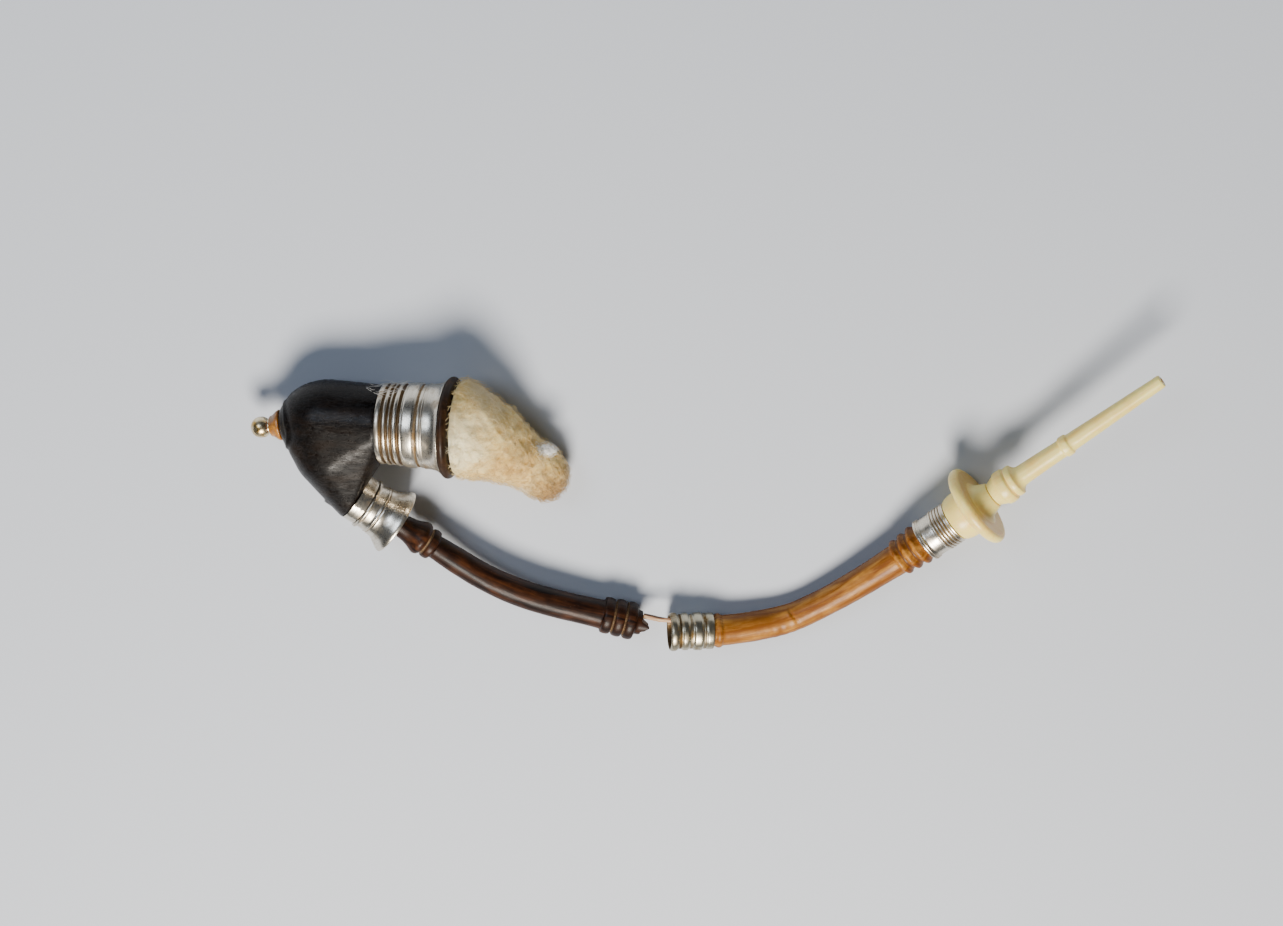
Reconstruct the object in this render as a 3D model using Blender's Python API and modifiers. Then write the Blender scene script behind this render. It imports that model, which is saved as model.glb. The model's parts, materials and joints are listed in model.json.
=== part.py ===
"""A small antique apothecary inhaler that plugs together like a pipe.

A forked reservoir of dark horn has two necks. One carries a silver-mounted bowl stuffed with
cotton wool. The other is a flared socket that holds a dark bent stem. The stem has snapped, and
a splinter still links it to a second, light brown stem, which ends in a bone mouthpiece with a
guard disc and a long nozzle. It lies on its side on a table, Z up, at real size.

Sizes are in millimetres and angles in degrees until they reach Blender, which gets metres. Every
turned piece stands on the local +Z axis of a frame, and a station is a distance along that axis
or, on a bent stem, along the stem's centre line.
"""
import math

import bmesh
import bpy
from mathutils import Matrix, Vector

MM = 0.001
FIT = 0.08          # play between pieces that touch

# Where the axes start and how they run: (azimuth from +X towards +Y, rise above the table)
BOWL_START = (-41.0, 13.0, 6.16)
BOWL_HEADING = (-1.0, 8.5)
SOCKET_START = (-45.2, 2.5, 5.06)
SOCKET_HEADING = (-36.5, -3.7)
LOWER_STEM_END_HEADING = (-14.5, -2.0)
DRAIN_START = (-54.2, 12.3, 4.9)
DRAIN_HEADING = (188.0, -5.0)
UPPER_START = (-3.95, -17.79, 3.42)
UPPER_HEADING = (-1.5, -7.5)
NOZZLE_HEADING = (41.0, 8.4)

# Bends along each stem: (length, angle turned in that length)
LOWER_BENDS = ((17.5, 0.0), (11.0, 18.0), (6.0, 4.0))
UPPER_BENDS = ((6.2, 0.0), (2.8, 8.0), (4.5, 5.0), (5.5, 20.0), (7.0, 6.5), (9.5, 5.0))

# Reservoir
DOME_RADIUS = 5.2
DOME_STATION = -7.0             # on the bowl axis
DOME_STRETCH = 1.27             # how much longer than wide the dome is
CHEEK_RADIUS = 5.12
CHEEK_CENTRE = (-47.8, 8.9, 5.2)
BOWL_NECK_RADIUS = 4.75
BOWL_NECK_END = 4.4
BOWL_BORE_RADIUS = 3.85
SOCKET_NECK_RADIUS = 2.8
SOCKET_NECK_END = 3.8
SOCKET_BORE_RADIUS = 2.15
SEAM_TURN = -20.0               # where round the socket the band's lap seam lies
SOCKET_BORE_DEPTH = 2.2          # how far the bore runs below the socket's root
THROAT_END = (-47.8, 10.2, 5.5)  # inside the cavity
THROAT_RADIUS = 1.3
DRAIN_SEAT_RADIUS = 2.0
DRAIN_HOLE_RADIUS = 0.83
CAVITY_RADIUS = 3.7

# Bowl
COLLAR_LENGTH = 8.35
RIM_THICKNESS = 1.2
RIM_RADIUS = 6.6
LINER_RADIUS = 4.75
LINER_BORE_RADIUS = 4.05
PLUG_RADIUS = 3.75

# Stems
STEM_BORE_RADIUS = 0.55
TENON_RADIUS = 1.55
LOWER_BREAK = 42.6
SPLINTER_REACH = 0.8            # how far the splinter's tip lies inside the mid ferrule
MID_FERRULE_LENGTH = 5.85
UPPER_STEM_END = 38.0
UPPER_FERRULE_END = 42.85
GUARD_RADIUS = 5.6
NOZZLE_START = 49.25
NOZZLE_END = 75.6


# ---------------------------------------------------------------- scene, materials, frames

def clear_scene():
    for item in list(bpy.data.objects):
        bpy.data.objects.remove(item, do_unlink=True)


def collection(name):
    group = bpy.data.collections.new(name)
    bpy.context.scene.collection.children.link(group)
    return group


def material(name, colour, roughness, metallic=0.0):
    made = bpy.data.materials.new(name)
    made.use_nodes = True
    shader = made.node_tree.nodes["Principled BSDF"]
    shader.inputs["Base Color"].default_value = (*colour, 1.0)
    shader.inputs["Roughness"].default_value = roughness
    shader.inputs["Metallic"].default_value = metallic
    made.diffuse_color = (*colour, 1.0)
    return made


def heading(azimuth, rise):
    """The unit vector that points along an azimuth and a rise, both in degrees."""
    turn = math.radians(azimuth)
    lift = math.radians(rise)
    return Vector((math.cos(turn) * math.cos(lift), math.sin(turn) * math.cos(lift), math.sin(lift)))


def axis_frame(name, start, along, towards):
    """An empty at start whose +Z runs along one direction and whose +X leans to another."""
    z_axis = along.normalized()
    x_axis = (towards - z_axis * towards.dot(z_axis)).normalized()
    y_axis = z_axis.cross(x_axis)
    frame = bpy.data.objects.new(name, None)
    CUTTERS.objects.link(frame)
    frame.empty_display_size = 3 * MM
    frame.parent = ROOT
    rotation = Matrix((x_axis, y_axis, z_axis)).transposed().to_4x4()
    frame.matrix_basis = Matrix.Translation(Vector(start) * MM) @ rotation
    return frame


def add_piece(name, mesh, frame, finish, group=None):
    """Puts a mesh in its collection as a named object, placed by its frame."""
    piece = bpy.data.objects.new(name, mesh)
    (group or PARTS).objects.link(piece)
    piece.parent = frame
    if finish:
        mesh.materials.append(finish)
    return piece


def smooth(piece, angle=35.0):
    piece.data.shade_smooth()
    piece.data.set_sharp_from_angle(angle=math.radians(angle))


# ---------------------------------------------------------------- shapes

def baked(piece, name, frame, finish, group=None):
    """Replaces an object by a welded mesh of what it evaluates to."""
    view = bpy.context.evaluated_depsgraph_get()
    mesh = bpy.data.meshes.new_from_object(piece.evaluated_get(view))
    matrix = piece.matrix_basis.copy()
    bpy.data.objects.remove(piece, do_unlink=True)
    shape = bmesh.new()
    shape.from_mesh(mesh)
    bmesh.ops.remove_doubles(shape, verts=shape.verts, dist=0.002 * MM)
    bmesh.ops.recalc_face_normals(shape, faces=shape.faces)
    shape.to_mesh(mesh)
    shape.free()
    mesh.materials.clear()
    made = add_piece(name, mesh, frame, finish, group)
    made.matrix_basis = matrix
    smooth(made)
    return made


def turned(name, frame, finish, outside, inside=(), steps=26, group=None):
    """A turned piece. outside and inside are (station, radius) points in order of station.

    Without an inside the outside starts and ends on the axis.
    """
    loop = [Vector((radius * MM, 0.0, station * MM)) for station, radius in reversed(outside)]
    loop += [Vector((radius * MM, 0.0, station * MM)) for station, radius in inside]
    shape = bmesh.new()
    corners = [shape.verts.new(point) for point in loop]
    for first, second in zip(corners, corners[1:]):
        shape.edges.new((first, second))
    if inside:
        shape.edges.new((corners[-1], corners[0]))
    mesh = bpy.data.meshes.new(name)
    shape.to_mesh(mesh)
    shape.free()
    blank = add_piece(name + "_profile", mesh, None, None, group)
    screw = blank.modifiers.new("turn", "SCREW")
    screw.axis = "Z"
    screw.angle = math.tau
    screw.steps = steps
    screw.render_steps = steps
    screw.use_merge_vertices = True
    screw.merge_threshold = 0.002 * MM
    return baked(blank, name, frame, finish, group)


def bent_point(bends, station):
    """The point and the turned angle at a station of a centre line in the local XZ plane."""
    x = 0.0
    z = min(station, 0.0)
    angle = 0.0
    left = max(station, 0.0)
    for length, turn in (*bends, (1000.0, 0.0)):
        step = min(length, left)
        curvature = math.radians(turn) / length
        if curvature:
            after = angle + curvature * step
            x += (math.cos(angle) - math.cos(after)) / curvature
            z += (math.sin(after) - math.sin(angle)) / curvature
            angle = after
        else:
            x += step * math.sin(angle)
            z += step * math.cos(angle)
        left -= step
    return Vector((x, 0.0, z)), angle


def path_frame(name, frame, bends, station):
    """An empty on a stem's centre line, with +Z along the stem."""
    point, angle = bent_point(bends, station)
    local = Matrix.Translation(point * MM) @ Matrix.Rotation(angle, 4, "Y")
    made = bpy.data.objects.new(name, None)
    CUTTERS.objects.link(made)
    made.empty_display_size = 3 * MM
    made.parent = ROOT
    made.matrix_basis = frame.matrix_basis @ local
    return made


def tube(name, frame, finish, points, radii, resolution=5, group=None):
    """A round bar through points, with a radius at each, as a welded mesh."""
    curve = bpy.data.curves.new(name, "CURVE")
    curve.dimensions = "3D"
    curve.bevel_depth = MM
    curve.bevel_resolution = resolution
    curve.use_fill_caps = True
    spline = curve.splines.new("POLY")
    spline.points.add(len(points) - 1)
    for knot, point, radius in zip(spline.points, points, radii):
        knot.co = (*(point * MM), 1.0)
        knot.radius = radius
    bar = bpy.data.objects.new(name + "_curve", curve)
    (group or PARTS).objects.link(bar)
    return baked(bar, name, frame, finish, group)


def bent_bar(name, frame, finish, bends, profile, resolution=4, spacing=2.0, group=None):
    """A bar of changing radius along a bent centre line. profile is (station, radius) points."""
    stations = []
    radii = []
    for (start, first), (end, last) in zip(profile, profile[1:]):
        pieces = max(1, math.ceil((end - start) / spacing))
        for index in range(pieces):
            share = index / pieces
            stations.append(start + (end - start) * share)
            radii.append(first + (last - first) * share)
    stations.append(profile[-1][0])
    radii.append(profile[-1][1])
    points = [bent_point(bends, station)[0] for station in stations]
    return tube(name, frame, finish, points, radii, resolution, group)


def lofted(name, frame, finish, rings, steps=18):
    """A closed skin over rings, each given by its centre, its direction and its radius."""
    shape = bmesh.new()
    loops = []
    for centre, direction, radius in rings:
        turn = direction.to_track_quat("Z", "Y").to_matrix().to_4x4()
        place = Matrix.Translation(centre * MM) @ turn
        ring = bmesh.ops.create_circle(shape, segments=steps, radius=radius * MM, matrix=place)
        loops.append(ring["verts"])
    for first, second in zip(loops, loops[1:]):
        for index in range(steps):
            after = (index + 1) % steps
            shape.faces.new((first[index], first[after], second[after], second[index]))
    shape.faces.new(loops[0])
    shape.faces.new(loops[-1])
    bmesh.ops.recalc_face_normals(shape, faces=shape.faces)
    mesh = bpy.data.meshes.new(name)
    shape.to_mesh(mesh)
    shape.free()
    made = add_piece(name, mesh, frame, finish)
    smooth(made)
    return made


def bead(start, end, base, crest, points=5):
    """Profile points of one rounded ring."""
    ring = []
    for index in range(points):
        angle = math.pi * index / (points - 1)
        station = (start + end) / 2 - (end - start) / 2 * math.cos(angle)
        ring.append((station, base + (crest - base) * math.sin(angle) ** 0.6))
    return ring


def combine(piece, cutter, operation):
    """Joins or cuts with a Boolean modifier. The cutter stays as a hidden guide."""
    cutter.hide_render = True
    cutter.display_type = "WIRE"
    step = piece.modifiers.new(cutter.name, "BOOLEAN")
    step.operation = operation
    step.solver = "EXACT"
    step.object = cutter


def cut(piece, *cutters):
    for cutter in cutters:
        combine(piece, cutter, "DIFFERENCE")


def zigzag_cutter(name, frame, teeth, far, half_width):
    """A slab whose near side follows teeth, (x, station) points, and whose far side is flat."""
    shape = bmesh.new()
    outline = [Vector((x, -half_width, station)) * MM for x, station in teeth]
    outline.append(Vector((teeth[-1][0], -half_width, far)) * MM)
    outline.append(Vector((teeth[0][0], -half_width, far)) * MM)
    face = shape.faces.new([shape.verts.new(point) for point in outline])
    pushed = bmesh.ops.extrude_face_region(shape, geom=[face])
    moved = [item for item in pushed["geom"] if isinstance(item, bmesh.types.BMVert)]
    bmesh.ops.translate(shape, verts=moved, vec=Vector((0.0, 2 * half_width, 0.0)) * MM)
    bmesh.ops.recalc_face_normals(shape, faces=shape.faces)
    mesh = bpy.data.meshes.new(name)
    shape.to_mesh(mesh)
    shape.free()
    return add_piece(name, mesh, frame, None, CUTTERS)


def box_cutter(name, frame, size, centre):
    shape = bmesh.new()
    bmesh.ops.create_cube(shape, size=1.0)
    bmesh.ops.scale(shape, verts=shape.verts, vec=Vector(size) * MM)
    bmesh.ops.translate(shape, verts=shape.verts, vec=Vector(centre) * MM)
    mesh = bpy.data.meshes.new(name)
    shape.to_mesh(mesh)
    shape.free()
    return add_piece(name, mesh, frame, None, CUTTERS)


# ---------------------------------------------------------------- reservoir and drain screw

def reservoir_hull(bowl, socket, drain):
    """One convex skin around the dome, the cheek, the drain seat and the roots of both necks."""
    shape = bmesh.new()

    def add_ball(matrix, radius):
        ball = bmesh.ops.create_uvsphere(shape, u_segments=22, v_segments=12, radius=radius * MM)
        bmesh.ops.transform(shape, verts=ball["verts"], matrix=matrix)

    def add_ring(frame, station, radius):
        ring = bmesh.ops.create_circle(shape, segments=22, radius=radius * MM)
        lift = Matrix.Translation((0.0, 0.0, station * MM))
        bmesh.ops.transform(shape, verts=ring["verts"], matrix=frame.matrix_basis @ lift)

    dome = bowl.matrix_basis @ Matrix.Translation((0.0, 0.0, DOME_STATION * MM))
    stretch = Matrix.Diagonal((1.0, 1.0, DOME_STRETCH, 1.0))
    add_ball(dome @ stretch, DOME_RADIUS)
    add_ball(Matrix.Translation(Vector(CHEEK_CENTRE) * MM), CHEEK_RADIUS)
    # nothing of the dome stands proud of the flat seat of the drain screw
    to_drain = drain.matrix_basis.inverted()
    proud = [corner for corner in shape.verts if (to_drain @ corner.co).z > -0.1 * MM]
    bmesh.ops.delete(shape, geom=proud, context="VERTS")
    add_ring(drain, 0.0, DRAIN_SEAT_RADIUS)
    add_ring(drain, -0.4, DRAIN_SEAT_RADIUS + 0.5)
    add_ring(bowl, -0.05, BOWL_NECK_RADIUS + 0.1)
    add_ring(socket, -0.05, SOCKET_NECK_RADIUS + 0.45)
    bmesh.ops.delete(shape, geom=shape.edges, context="EDGES_FACES")
    bmesh.ops.convex_hull(shape, input=shape.verts)
    inner = [corner for corner in shape.verts if not corner.link_faces]
    bmesh.ops.delete(shape, geom=inner, context="VERTS")
    bmesh.ops.recalc_face_normals(shape, faces=shape.faces)
    mesh = bpy.data.meshes.new("reservoir_body")
    shape.to_mesh(mesh)
    shape.free()
    return mesh


def plain_rod(name, frame, start, end, radius, steps=24):
    """A solid round cutter."""
    outside = [(start, 0.0), (start, radius), (end, radius), (end, 0.0)]
    return turned(name, frame, None, outside, steps=steps, group=CUTTERS)


def build_reservoir(bowl, socket, drain):
    body = add_piece("reservoir_body", reservoir_hull(bowl, socket, drain), None, HORN)
    body.parent = ROOT
    smooth(body)
    bowl_neck = plain_rod("bowl_neck", bowl, -3.0, BOWL_NECK_END, BOWL_NECK_RADIUS)
    socket_neck = plain_rod("socket_neck", socket, -3.0, SOCKET_NECK_END, SOCKET_NECK_RADIUS)
    combine(body, bowl_neck, "UNION")
    combine(body, socket_neck, "UNION")
    cavity_points = [
        (DOME_STATION - 3.6, 0.0),
        (DOME_STATION - 2.8, CAVITY_RADIUS * 0.7),
        (DOME_STATION - 0.6, CAVITY_RADIUS),
        (0.0, BOWL_BORE_RADIUS),
        (BOWL_NECK_END + 1.0, BOWL_BORE_RADIUS),
        (BOWL_NECK_END + 1.0, 0.0),
    ]
    cavity = turned("reservoir_cavity", bowl, None, cavity_points, steps=24, group=CUTTERS)
    socket_bore = plain_rod("socket_bore", socket, -SOCKET_BORE_DEPTH, SOCKET_NECK_END + 1.0,
                            SOCKET_BORE_RADIUS)
    # a narrower throat leads on from the bore into the cavity
    root = socket.matrix_basis @ (Vector((0.0, 0.0, -1.2)) * MM) / MM
    run = Vector(THROAT_END) - root
    entry = axis_frame("throat_axis", root, run, Vector((0.0, 0.0, 1.0)))
    throat = plain_rod("throat", entry, 0.0, run.length, THROAT_RADIUS, 18)
    drain_hole = plain_rod("drain_hole", drain, -6.0, 1.0, DRAIN_HOLE_RADIUS, 16)
    cut(body, cavity, socket_bore, throat, drain_hole)


def build_drain_screw(drain):
    seal = [(FIT, 1.95), (0.45, 1.9), (0.8, 1.6), (1.0, 1.25)]
    turned("finial_seal", drain, AMBER, seal, [(FIT, 0.85), (1.0, 0.85)], steps=24)
    ball_centre = 2.8
    ball = []
    for index in range(8):
        angle = math.radians(40.0 + 140.0 * index / 7)
        ball.append((ball_centre - 1.4 * math.cos(angle), 1.38 * math.sin(angle)))
    ball[-1] = (ball[-1][0], 0.0)
    shank = [(-2.6, 0.0), (-2.6, 0.6), (-2.45, 0.75), (1.0 + FIT, 0.75), (1.0 + FIT, 1.2), (1.35, 1.1)]
    turned("finial_knob", drain, BRASS, shank + ball, steps=18)


# ---------------------------------------------------------------- bowl

def build_bowl(bowl):
    outside = [(0.0, 5.1), (0.1, 5.22), (0.6, 5.25), (0.75, 5.12), (1.0, 5.12)]
    outside += bead(1.05, 1.55, 5.2, 5.38, 3)
    outside += bead(1.75, 2.25, 5.2, 5.4, 3)
    outside += [(2.4, 5.2), (2.55, 5.36), (2.95, 5.36), (3.1, 5.24), (3.4, 5.3), (3.5, 5.46)]
    outside += [(4.9, 5.52), (5.05, 5.36), (5.4, 5.36), (5.55, 5.52), (5.95, 5.52), (6.1, 5.44)]
    outside += [(6.25, 5.54), (7.3, 5.64), (7.9, 5.85), (8.25, 6.15), (COLLAR_LENGTH, 6.1)]
    inner = BOWL_NECK_RADIUS + FIT
    inside = [(0.0, inner), (7.2, inner), (7.5, 5.1), (COLLAR_LENGTH, 5.1)]
    turned("bowl_collar", bowl, SILVER, outside, inside)

    start = BOWL_NECK_END + FIT
    face = COLLAR_LENGTH + FIT
    rim_end = face + RIM_THICKNESS
    liner = [(start, LINER_RADIUS), (face, LINER_RADIUS), (face, RIM_RADIUS - 0.35)]
    liner += [(face + 0.2, RIM_RADIUS - 0.08), (face + 0.5, RIM_RADIUS)]
    liner += [(rim_end - 0.3, RIM_RADIUS - 0.2), (rim_end, RIM_RADIUS - 0.6)]
    bore = [(start, LINER_BORE_RADIUS), (rim_end - 0.5, LINER_BORE_RADIUS)]
    bore += [(rim_end, LINER_BORE_RADIUS + 0.6)]
    turned("bowl_rim", bowl, HORN, liner, bore)


def build_cotton():
    """The wad: a plug in the liner that swells over the mouth, slumps and ends in a small tip."""
    mouth = COLLAR_LENGTH + FIT + RIM_THICKNESS
    axis = heading(*BOWL_HEADING)
    start = Vector(BOWL_START)
    plug = (
        (2.6, 2.9), (3.4, PLUG_RADIUS), (mouth - 0.6, PLUG_RADIUS),
        (mouth + 0.1, 4.2), (mouth + 0.15, 5.8), (mouth + 0.6, 6.05), (mouth + 1.5, 6.1),
    )
    rings = [(start + axis * station, axis, radius) for station, radius in plug]
    # x, y, z of the centre, azimuth and rise of the wad there, radius
    slump = (
        (-28.7, 12.0, 7.30, -8.0, 3.0, 5.85),
        (-27.8, 11.1, 6.70, -20.0, -6.0, 5.35),
        (-26.7, 10.1, 6.00, -30.0, -13.0, 4.80),
        (-25.3, 8.9, 5.20, -34.0, -16.0, 4.25),
        (-23.7, 7.8, 4.45, -36.0, -16.0, 3.75),
        (-22.2, 6.5, 3.85, -42.0, -15.0, 3.45),
        (-20.8, 5.1, 3.40, -48.0, -12.0, 3.20),
        (-19.7, 3.9, 3.10, -50.0, -10.0, 2.75),
        (-19.1, 3.0, 2.85, -50.0, -8.0, 2.05),
        (-18.7, 2.5, 2.70, -50.0, -8.0, 1.20),
    )
    rings += [(Vector(ring[:3]), heading(*ring[3:5]), ring[5]) for ring in slump]
    lofted("cotton_wad", ROOT, COTTON, rings)


# ---------------------------------------------------------------- stem socket

def build_socket(socket):
    band_end = 1.6
    inner = SOCKET_NECK_RADIUS + FIT
    outside = [(0.05, 3.2), (0.15, 3.32), (1.45, 3.38), (band_end, 3.28)]
    band = turned("stem_band", socket, SILVER, outside, [(0.05, inner), (band_end, inner)])
    seam = box_cutter("band_seam", socket, (0.22, 1.2, 2.4), (0.0, 3.2, 0.8))
    seam.matrix_basis = Matrix.Rotation(math.radians(SEAM_TURN), 4, "Z")
    cut(band, seam)

    start = band_end + FIT
    mouth = 6.6
    outside = [(start, 3.28)]
    outside += bead(start + 0.05, start + 0.45, 3.25, 3.46, 3)
    outside += [(2.25, 3.17), (3.3, 3.24), (3.4, 3.38), (3.6, 3.26), (3.75, 3.38), (4.35, 3.45)]
    outside += [(5.0, 3.72), (5.55, 4.08), (6.0, 4.36), (6.35, 4.48), (mouth, 4.4)]
    inside = [(start, inner), (SOCKET_NECK_END + 0.1, inner), (4.4, 3.1), (5.0, 3.37)]
    inside += [(5.55, 3.73), (6.0, 4.0), (mouth, 4.2)]
    turned("stem_collar", socket, SILVER, outside, inside, steps=24)

    cork = TENON_RADIUS + FIT
    grip = SOCKET_BORE_RADIUS - FIT
    sleeve = [(0.4, grip - 0.05), (0.7, grip), (4.6, grip), (4.9, grip - 0.1)]
    turned("stem_cork", socket, CORK, sleeve, [(0.4, cork), (4.9, cork)], steps=20)


# ---------------------------------------------------------------- stems

def build_lower_stem(socket):
    """Tenon, shoulder, two small rings, bent tube, three end rings and a snapped tenon."""
    profile = [(-0.4, TENON_RADIUS - 0.1), (-0.2, TENON_RADIUS), (7.2, TENON_RADIUS)]
    profile += [(8.4, 1.65), (9.2, 1.85), (9.8, 2.1), (10.1, 2.24)]
    profile += [(10.65, 2.27), (10.95, 2.1), (11.2, 1.75)]
    profile += bead(11.35, 12.5, 1.8, 2.06, 4)
    profile += [(12.75, 1.58), (14.3, 1.7), (21.0, 1.8), (28.0, 1.88), (35.8, 1.9), (37.2, 1.98)]
    ring_start = 37.4
    for index in range(3):
        crest = (2.48, 2.54, 2.54)[index]
        profile += bead(ring_start + 1.55 * index, ring_start + 1.55 * index + 1.4, 2.12, crest, 5)
    profile += [(42.05, 1.68), (44.4, 1.62)]
    stem = bent_bar("lower_stem", socket, DARK_HORN, LOWER_BENDS, profile)
    bore = bent_bar("lower_bore", socket, None, LOWER_BENDS,
                    [(-3.0, STEM_BORE_RADIUS), (46.0, STEM_BORE_RADIUS)], 2, 3.0, CUTTERS)
    end = path_frame("break_end", socket, LOWER_BENDS, LOWER_BREAK)
    across = (
        (-2.6, -0.1), (-1.3, 0.0), (-0.9, 0.2), (-0.6, 0.1), (-0.3, 0.75), (0.3, 1.2),
        (0.6, 0.8), (0.85, 0.1), (1.05, -0.05), (1.25, 0.1), (2.6, -0.2),
    )
    snap = zigzag_cutter("break_teeth", end, across, 3.5, 2.6)
    # one prong is left, on the upper side of the snapped tube
    below = ((-2.6, 0.05), (-1.1, 0.15), (-0.6, -0.05), (0.1, 0.1), (0.55, 0.9), (2.6, 1.6))
    slope = zigzag_cutter("break_slope", end, below, 3.6, 2.7)
    slope.matrix_basis = Matrix.Rotation(math.radians(90.0), 4, "Z")
    cut(stem, bore, snap, slope)
    return end


def build_splinter(end, upper):
    """The strip that still bridges the break, from the tenon's flank into the mid ferrule."""
    start = end.matrix_basis @ (Vector((1.28, 0.25, 0.14)) * MM)
    tip = upper.matrix_basis @ (Vector((1.78, -0.2, SPLINTER_REACH)) * MM)
    middle = start.lerp(tip, 0.5) + Vector((0.0, -0.05, 0.15)) * MM
    points = [start, start.lerp(middle, 0.5), middle, middle.lerp(tip, 0.6), tip]
    tube("splinter", ROOT, SPLINTER, [point / MM for point in points],
         [0.36, 0.38, 0.34, 0.32, 0.22], resolution=1)


def build_upper_stem(upper):
    """Peg, bead, bent tube with a crease, three rings and the peg of the upper ferrule."""
    peg = 1.72
    shoulder = MID_FERRULE_LENGTH + FIT
    profile = [(3.2, peg), (shoulder, peg), (shoulder + 0.02, 2.05)]
    profile += [(6.25, 2.12), (6.55, 2.3), (6.8, 2.3), (7.1, 2.08)]
    profile += [(15.0, 2.0), (17.3, 1.94), (17.6, 1.84), (18.0, 1.9), (21.0, 1.86)]
    profile += [(24.0, 1.9), (30.0, 2.0), (33.2, 2.08)]
    ring_start = 33.7
    for index in range(3):
        crest = (2.52, 2.66, 2.78)[index]
        left = ring_start + 1.45 * index
        profile += [(left, 2.2 + 0.08 * index), (left + 0.35, crest - 0.05), (left + 0.6, crest)]
        profile += [(left + 1.05, crest - 0.16), (left + 1.3, crest - 0.3)]
    profile += [(UPPER_STEM_END - 0.02, 2.4), (UPPER_STEM_END, 2.2), (40.4, 2.2)]
    stem = bent_bar("upper_stem", upper, LIGHT_HORN, UPPER_BENDS, profile)
    bore = bent_bar("upper_bore", upper, None, UPPER_BENDS,
                    [(1.0, STEM_BORE_RADIUS), (42.5, STEM_BORE_RADIUS)], 2, 3.0, CUTTERS)
    cut(stem, bore)


def build_mid_ferrule(upper):
    length = MID_FERRULE_LENGTH
    outside = [(0.0, 2.42)] + bead(0.05, 1.05, 2.44, 2.6, 4) + [(1.1, 2.34), (1.5, 2.34)]
    outside += bead(1.6, 2.5, 2.42, 2.52, 4) + [(2.6, 2.36), (3.1, 2.36), (3.25, 2.5)]
    outside += [(4.3, 2.56), (4.45, 2.38), (4.8, 2.36), (4.95, 2.46), (length, 2.44)]
    inner = 2.1
    inside = [(0.0, 2.28), (0.5, 2.18), (1.0, inner), (length, inner)]
    turned("mid_ferrule", upper, PEWTER, outside, inside, steps=22)

    stump = [(1.35, 1.35), (1.5, 1.6), (2.6, 1.62), (3.0, 1.55)]
    bore = STEM_BORE_RADIUS
    piece = turned("tenon_stump", upper, DARK_HORN, stump, [(1.35, bore), (3.0, bore)], steps=18)
    teeth = ((-2.4, 1.5), (-1.1, 1.75), (-0.7, 1.5), (-0.2, 2.0), (0.3, 1.6), (0.9, 2.1), (2.4, 1.9))
    snap = zigzag_cutter("stump_teeth", upper, teeth, 0.0, 2.6)
    cut(piece, snap)

    lapping = [(3.3, 1.98), (3.5, 2.02), (5.4, 2.02), (5.6, 1.98)]
    turned("ferrule_lapping", upper, THREAD, lapping, [(3.3, 1.8), (5.6, 1.8)], steps=18)


# ---------------------------------------------------------------- mouthpiece

def build_upper_ferrule(nozzle):
    start = UPPER_STEM_END + FIT
    end = UPPER_FERRULE_END
    outside = [(start, 2.8)] + bead(start + 0.02, start + 0.6, 2.84, 2.98, 4)
    outside += [(start + 0.7, 2.74), (start + 2.3, 2.8)]
    for index in range(4):
        left = start + 2.4 + 0.55 * index
        outside += [(left, 2.78), (left + 0.12, 2.9), (left + 0.38, 2.92), (left + 0.5, 2.8)]
    outside += [(end, 2.88)]
    inner = 2.2 + FIT
    turned("upper_ferrule", nozzle, SILVER, outside, [(start, inner), (end, inner)], steps=22)

    lapping = [(40.75, inner - FIT - 0.04), (40.95, inner - FIT), (42.6, inner - FIT)]
    turned("mouthpiece_lapping", nozzle, THREAD, lapping, [(40.75, 1.68), (42.6, 1.68)], steps=18)


def build_mouthpiece(nozzle):
    """Tenon, domed base, guard disc and hub in one turned piece of bone."""
    tenon = 1.6
    start = UPPER_FERRULE_END + FIT
    outside = [(40.6, tenon), (start, tenon), (start, 2.82), (43.2, 3.0), (43.9, 3.18), (44.7, 3.22)]
    outside += [(45.15, 3.15), (45.45, 3.9), (45.65, 4.8), (45.85, 5.25), (46.15, 5.5)]
    outside += [(46.55, GUARD_RADIUS), (46.95, 5.52), (47.2, 5.25), (47.25, 4.6), (47.2, 3.3)]
    outside += [(47.35, 2.75), (47.9, 2.3), (48.6, 2.0), (NOZZLE_START - FIT, 1.72)]
    inside = [(40.6, STEM_BORE_RADIUS), (46.4, STEM_BORE_RADIUS), (46.5, 1.02)]
    inside += [(NOZZLE_START - FIT, 1.02)]
    turned("mouthpiece_base", nozzle, BONE, outside, inside)

    left = NOZZLE_START
    outside = [(46.7, 0.94), (left, 0.94), (left, 1.66), (left + 0.35, 1.72), (left + 0.95, 2.0)]
    outside += bead(left + 1.2, left + 2.65, 2.1, 2.34, 4)
    outside += bead(left + 2.85, left + 3.75, 1.95, 2.14, 4)
    outside += [(left + 4.15, 1.5), (left + 4.6, 1.34), (left + 7.5, 1.27), (left + 10.9, 1.2)]
    outside += bead(left + 11.0, left + 12.1, 1.3, 1.42, 4)
    outside += [(left + 12.4, 1.18), (left + 18.0, 1.06), (left + 22.5, 0.95)]
    outside += [(NOZZLE_END - 0.1, 0.86), (NOZZLE_END, 0.8)]
    inside = [(46.7, 0.5), (NOZZLE_END - 4.0, 0.45), (NOZZLE_END, 0.38)]
    turned("nozzle", nozzle, BONE, outside, inside, steps=16)


# ---------------------------------------------------------------- assembly

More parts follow.
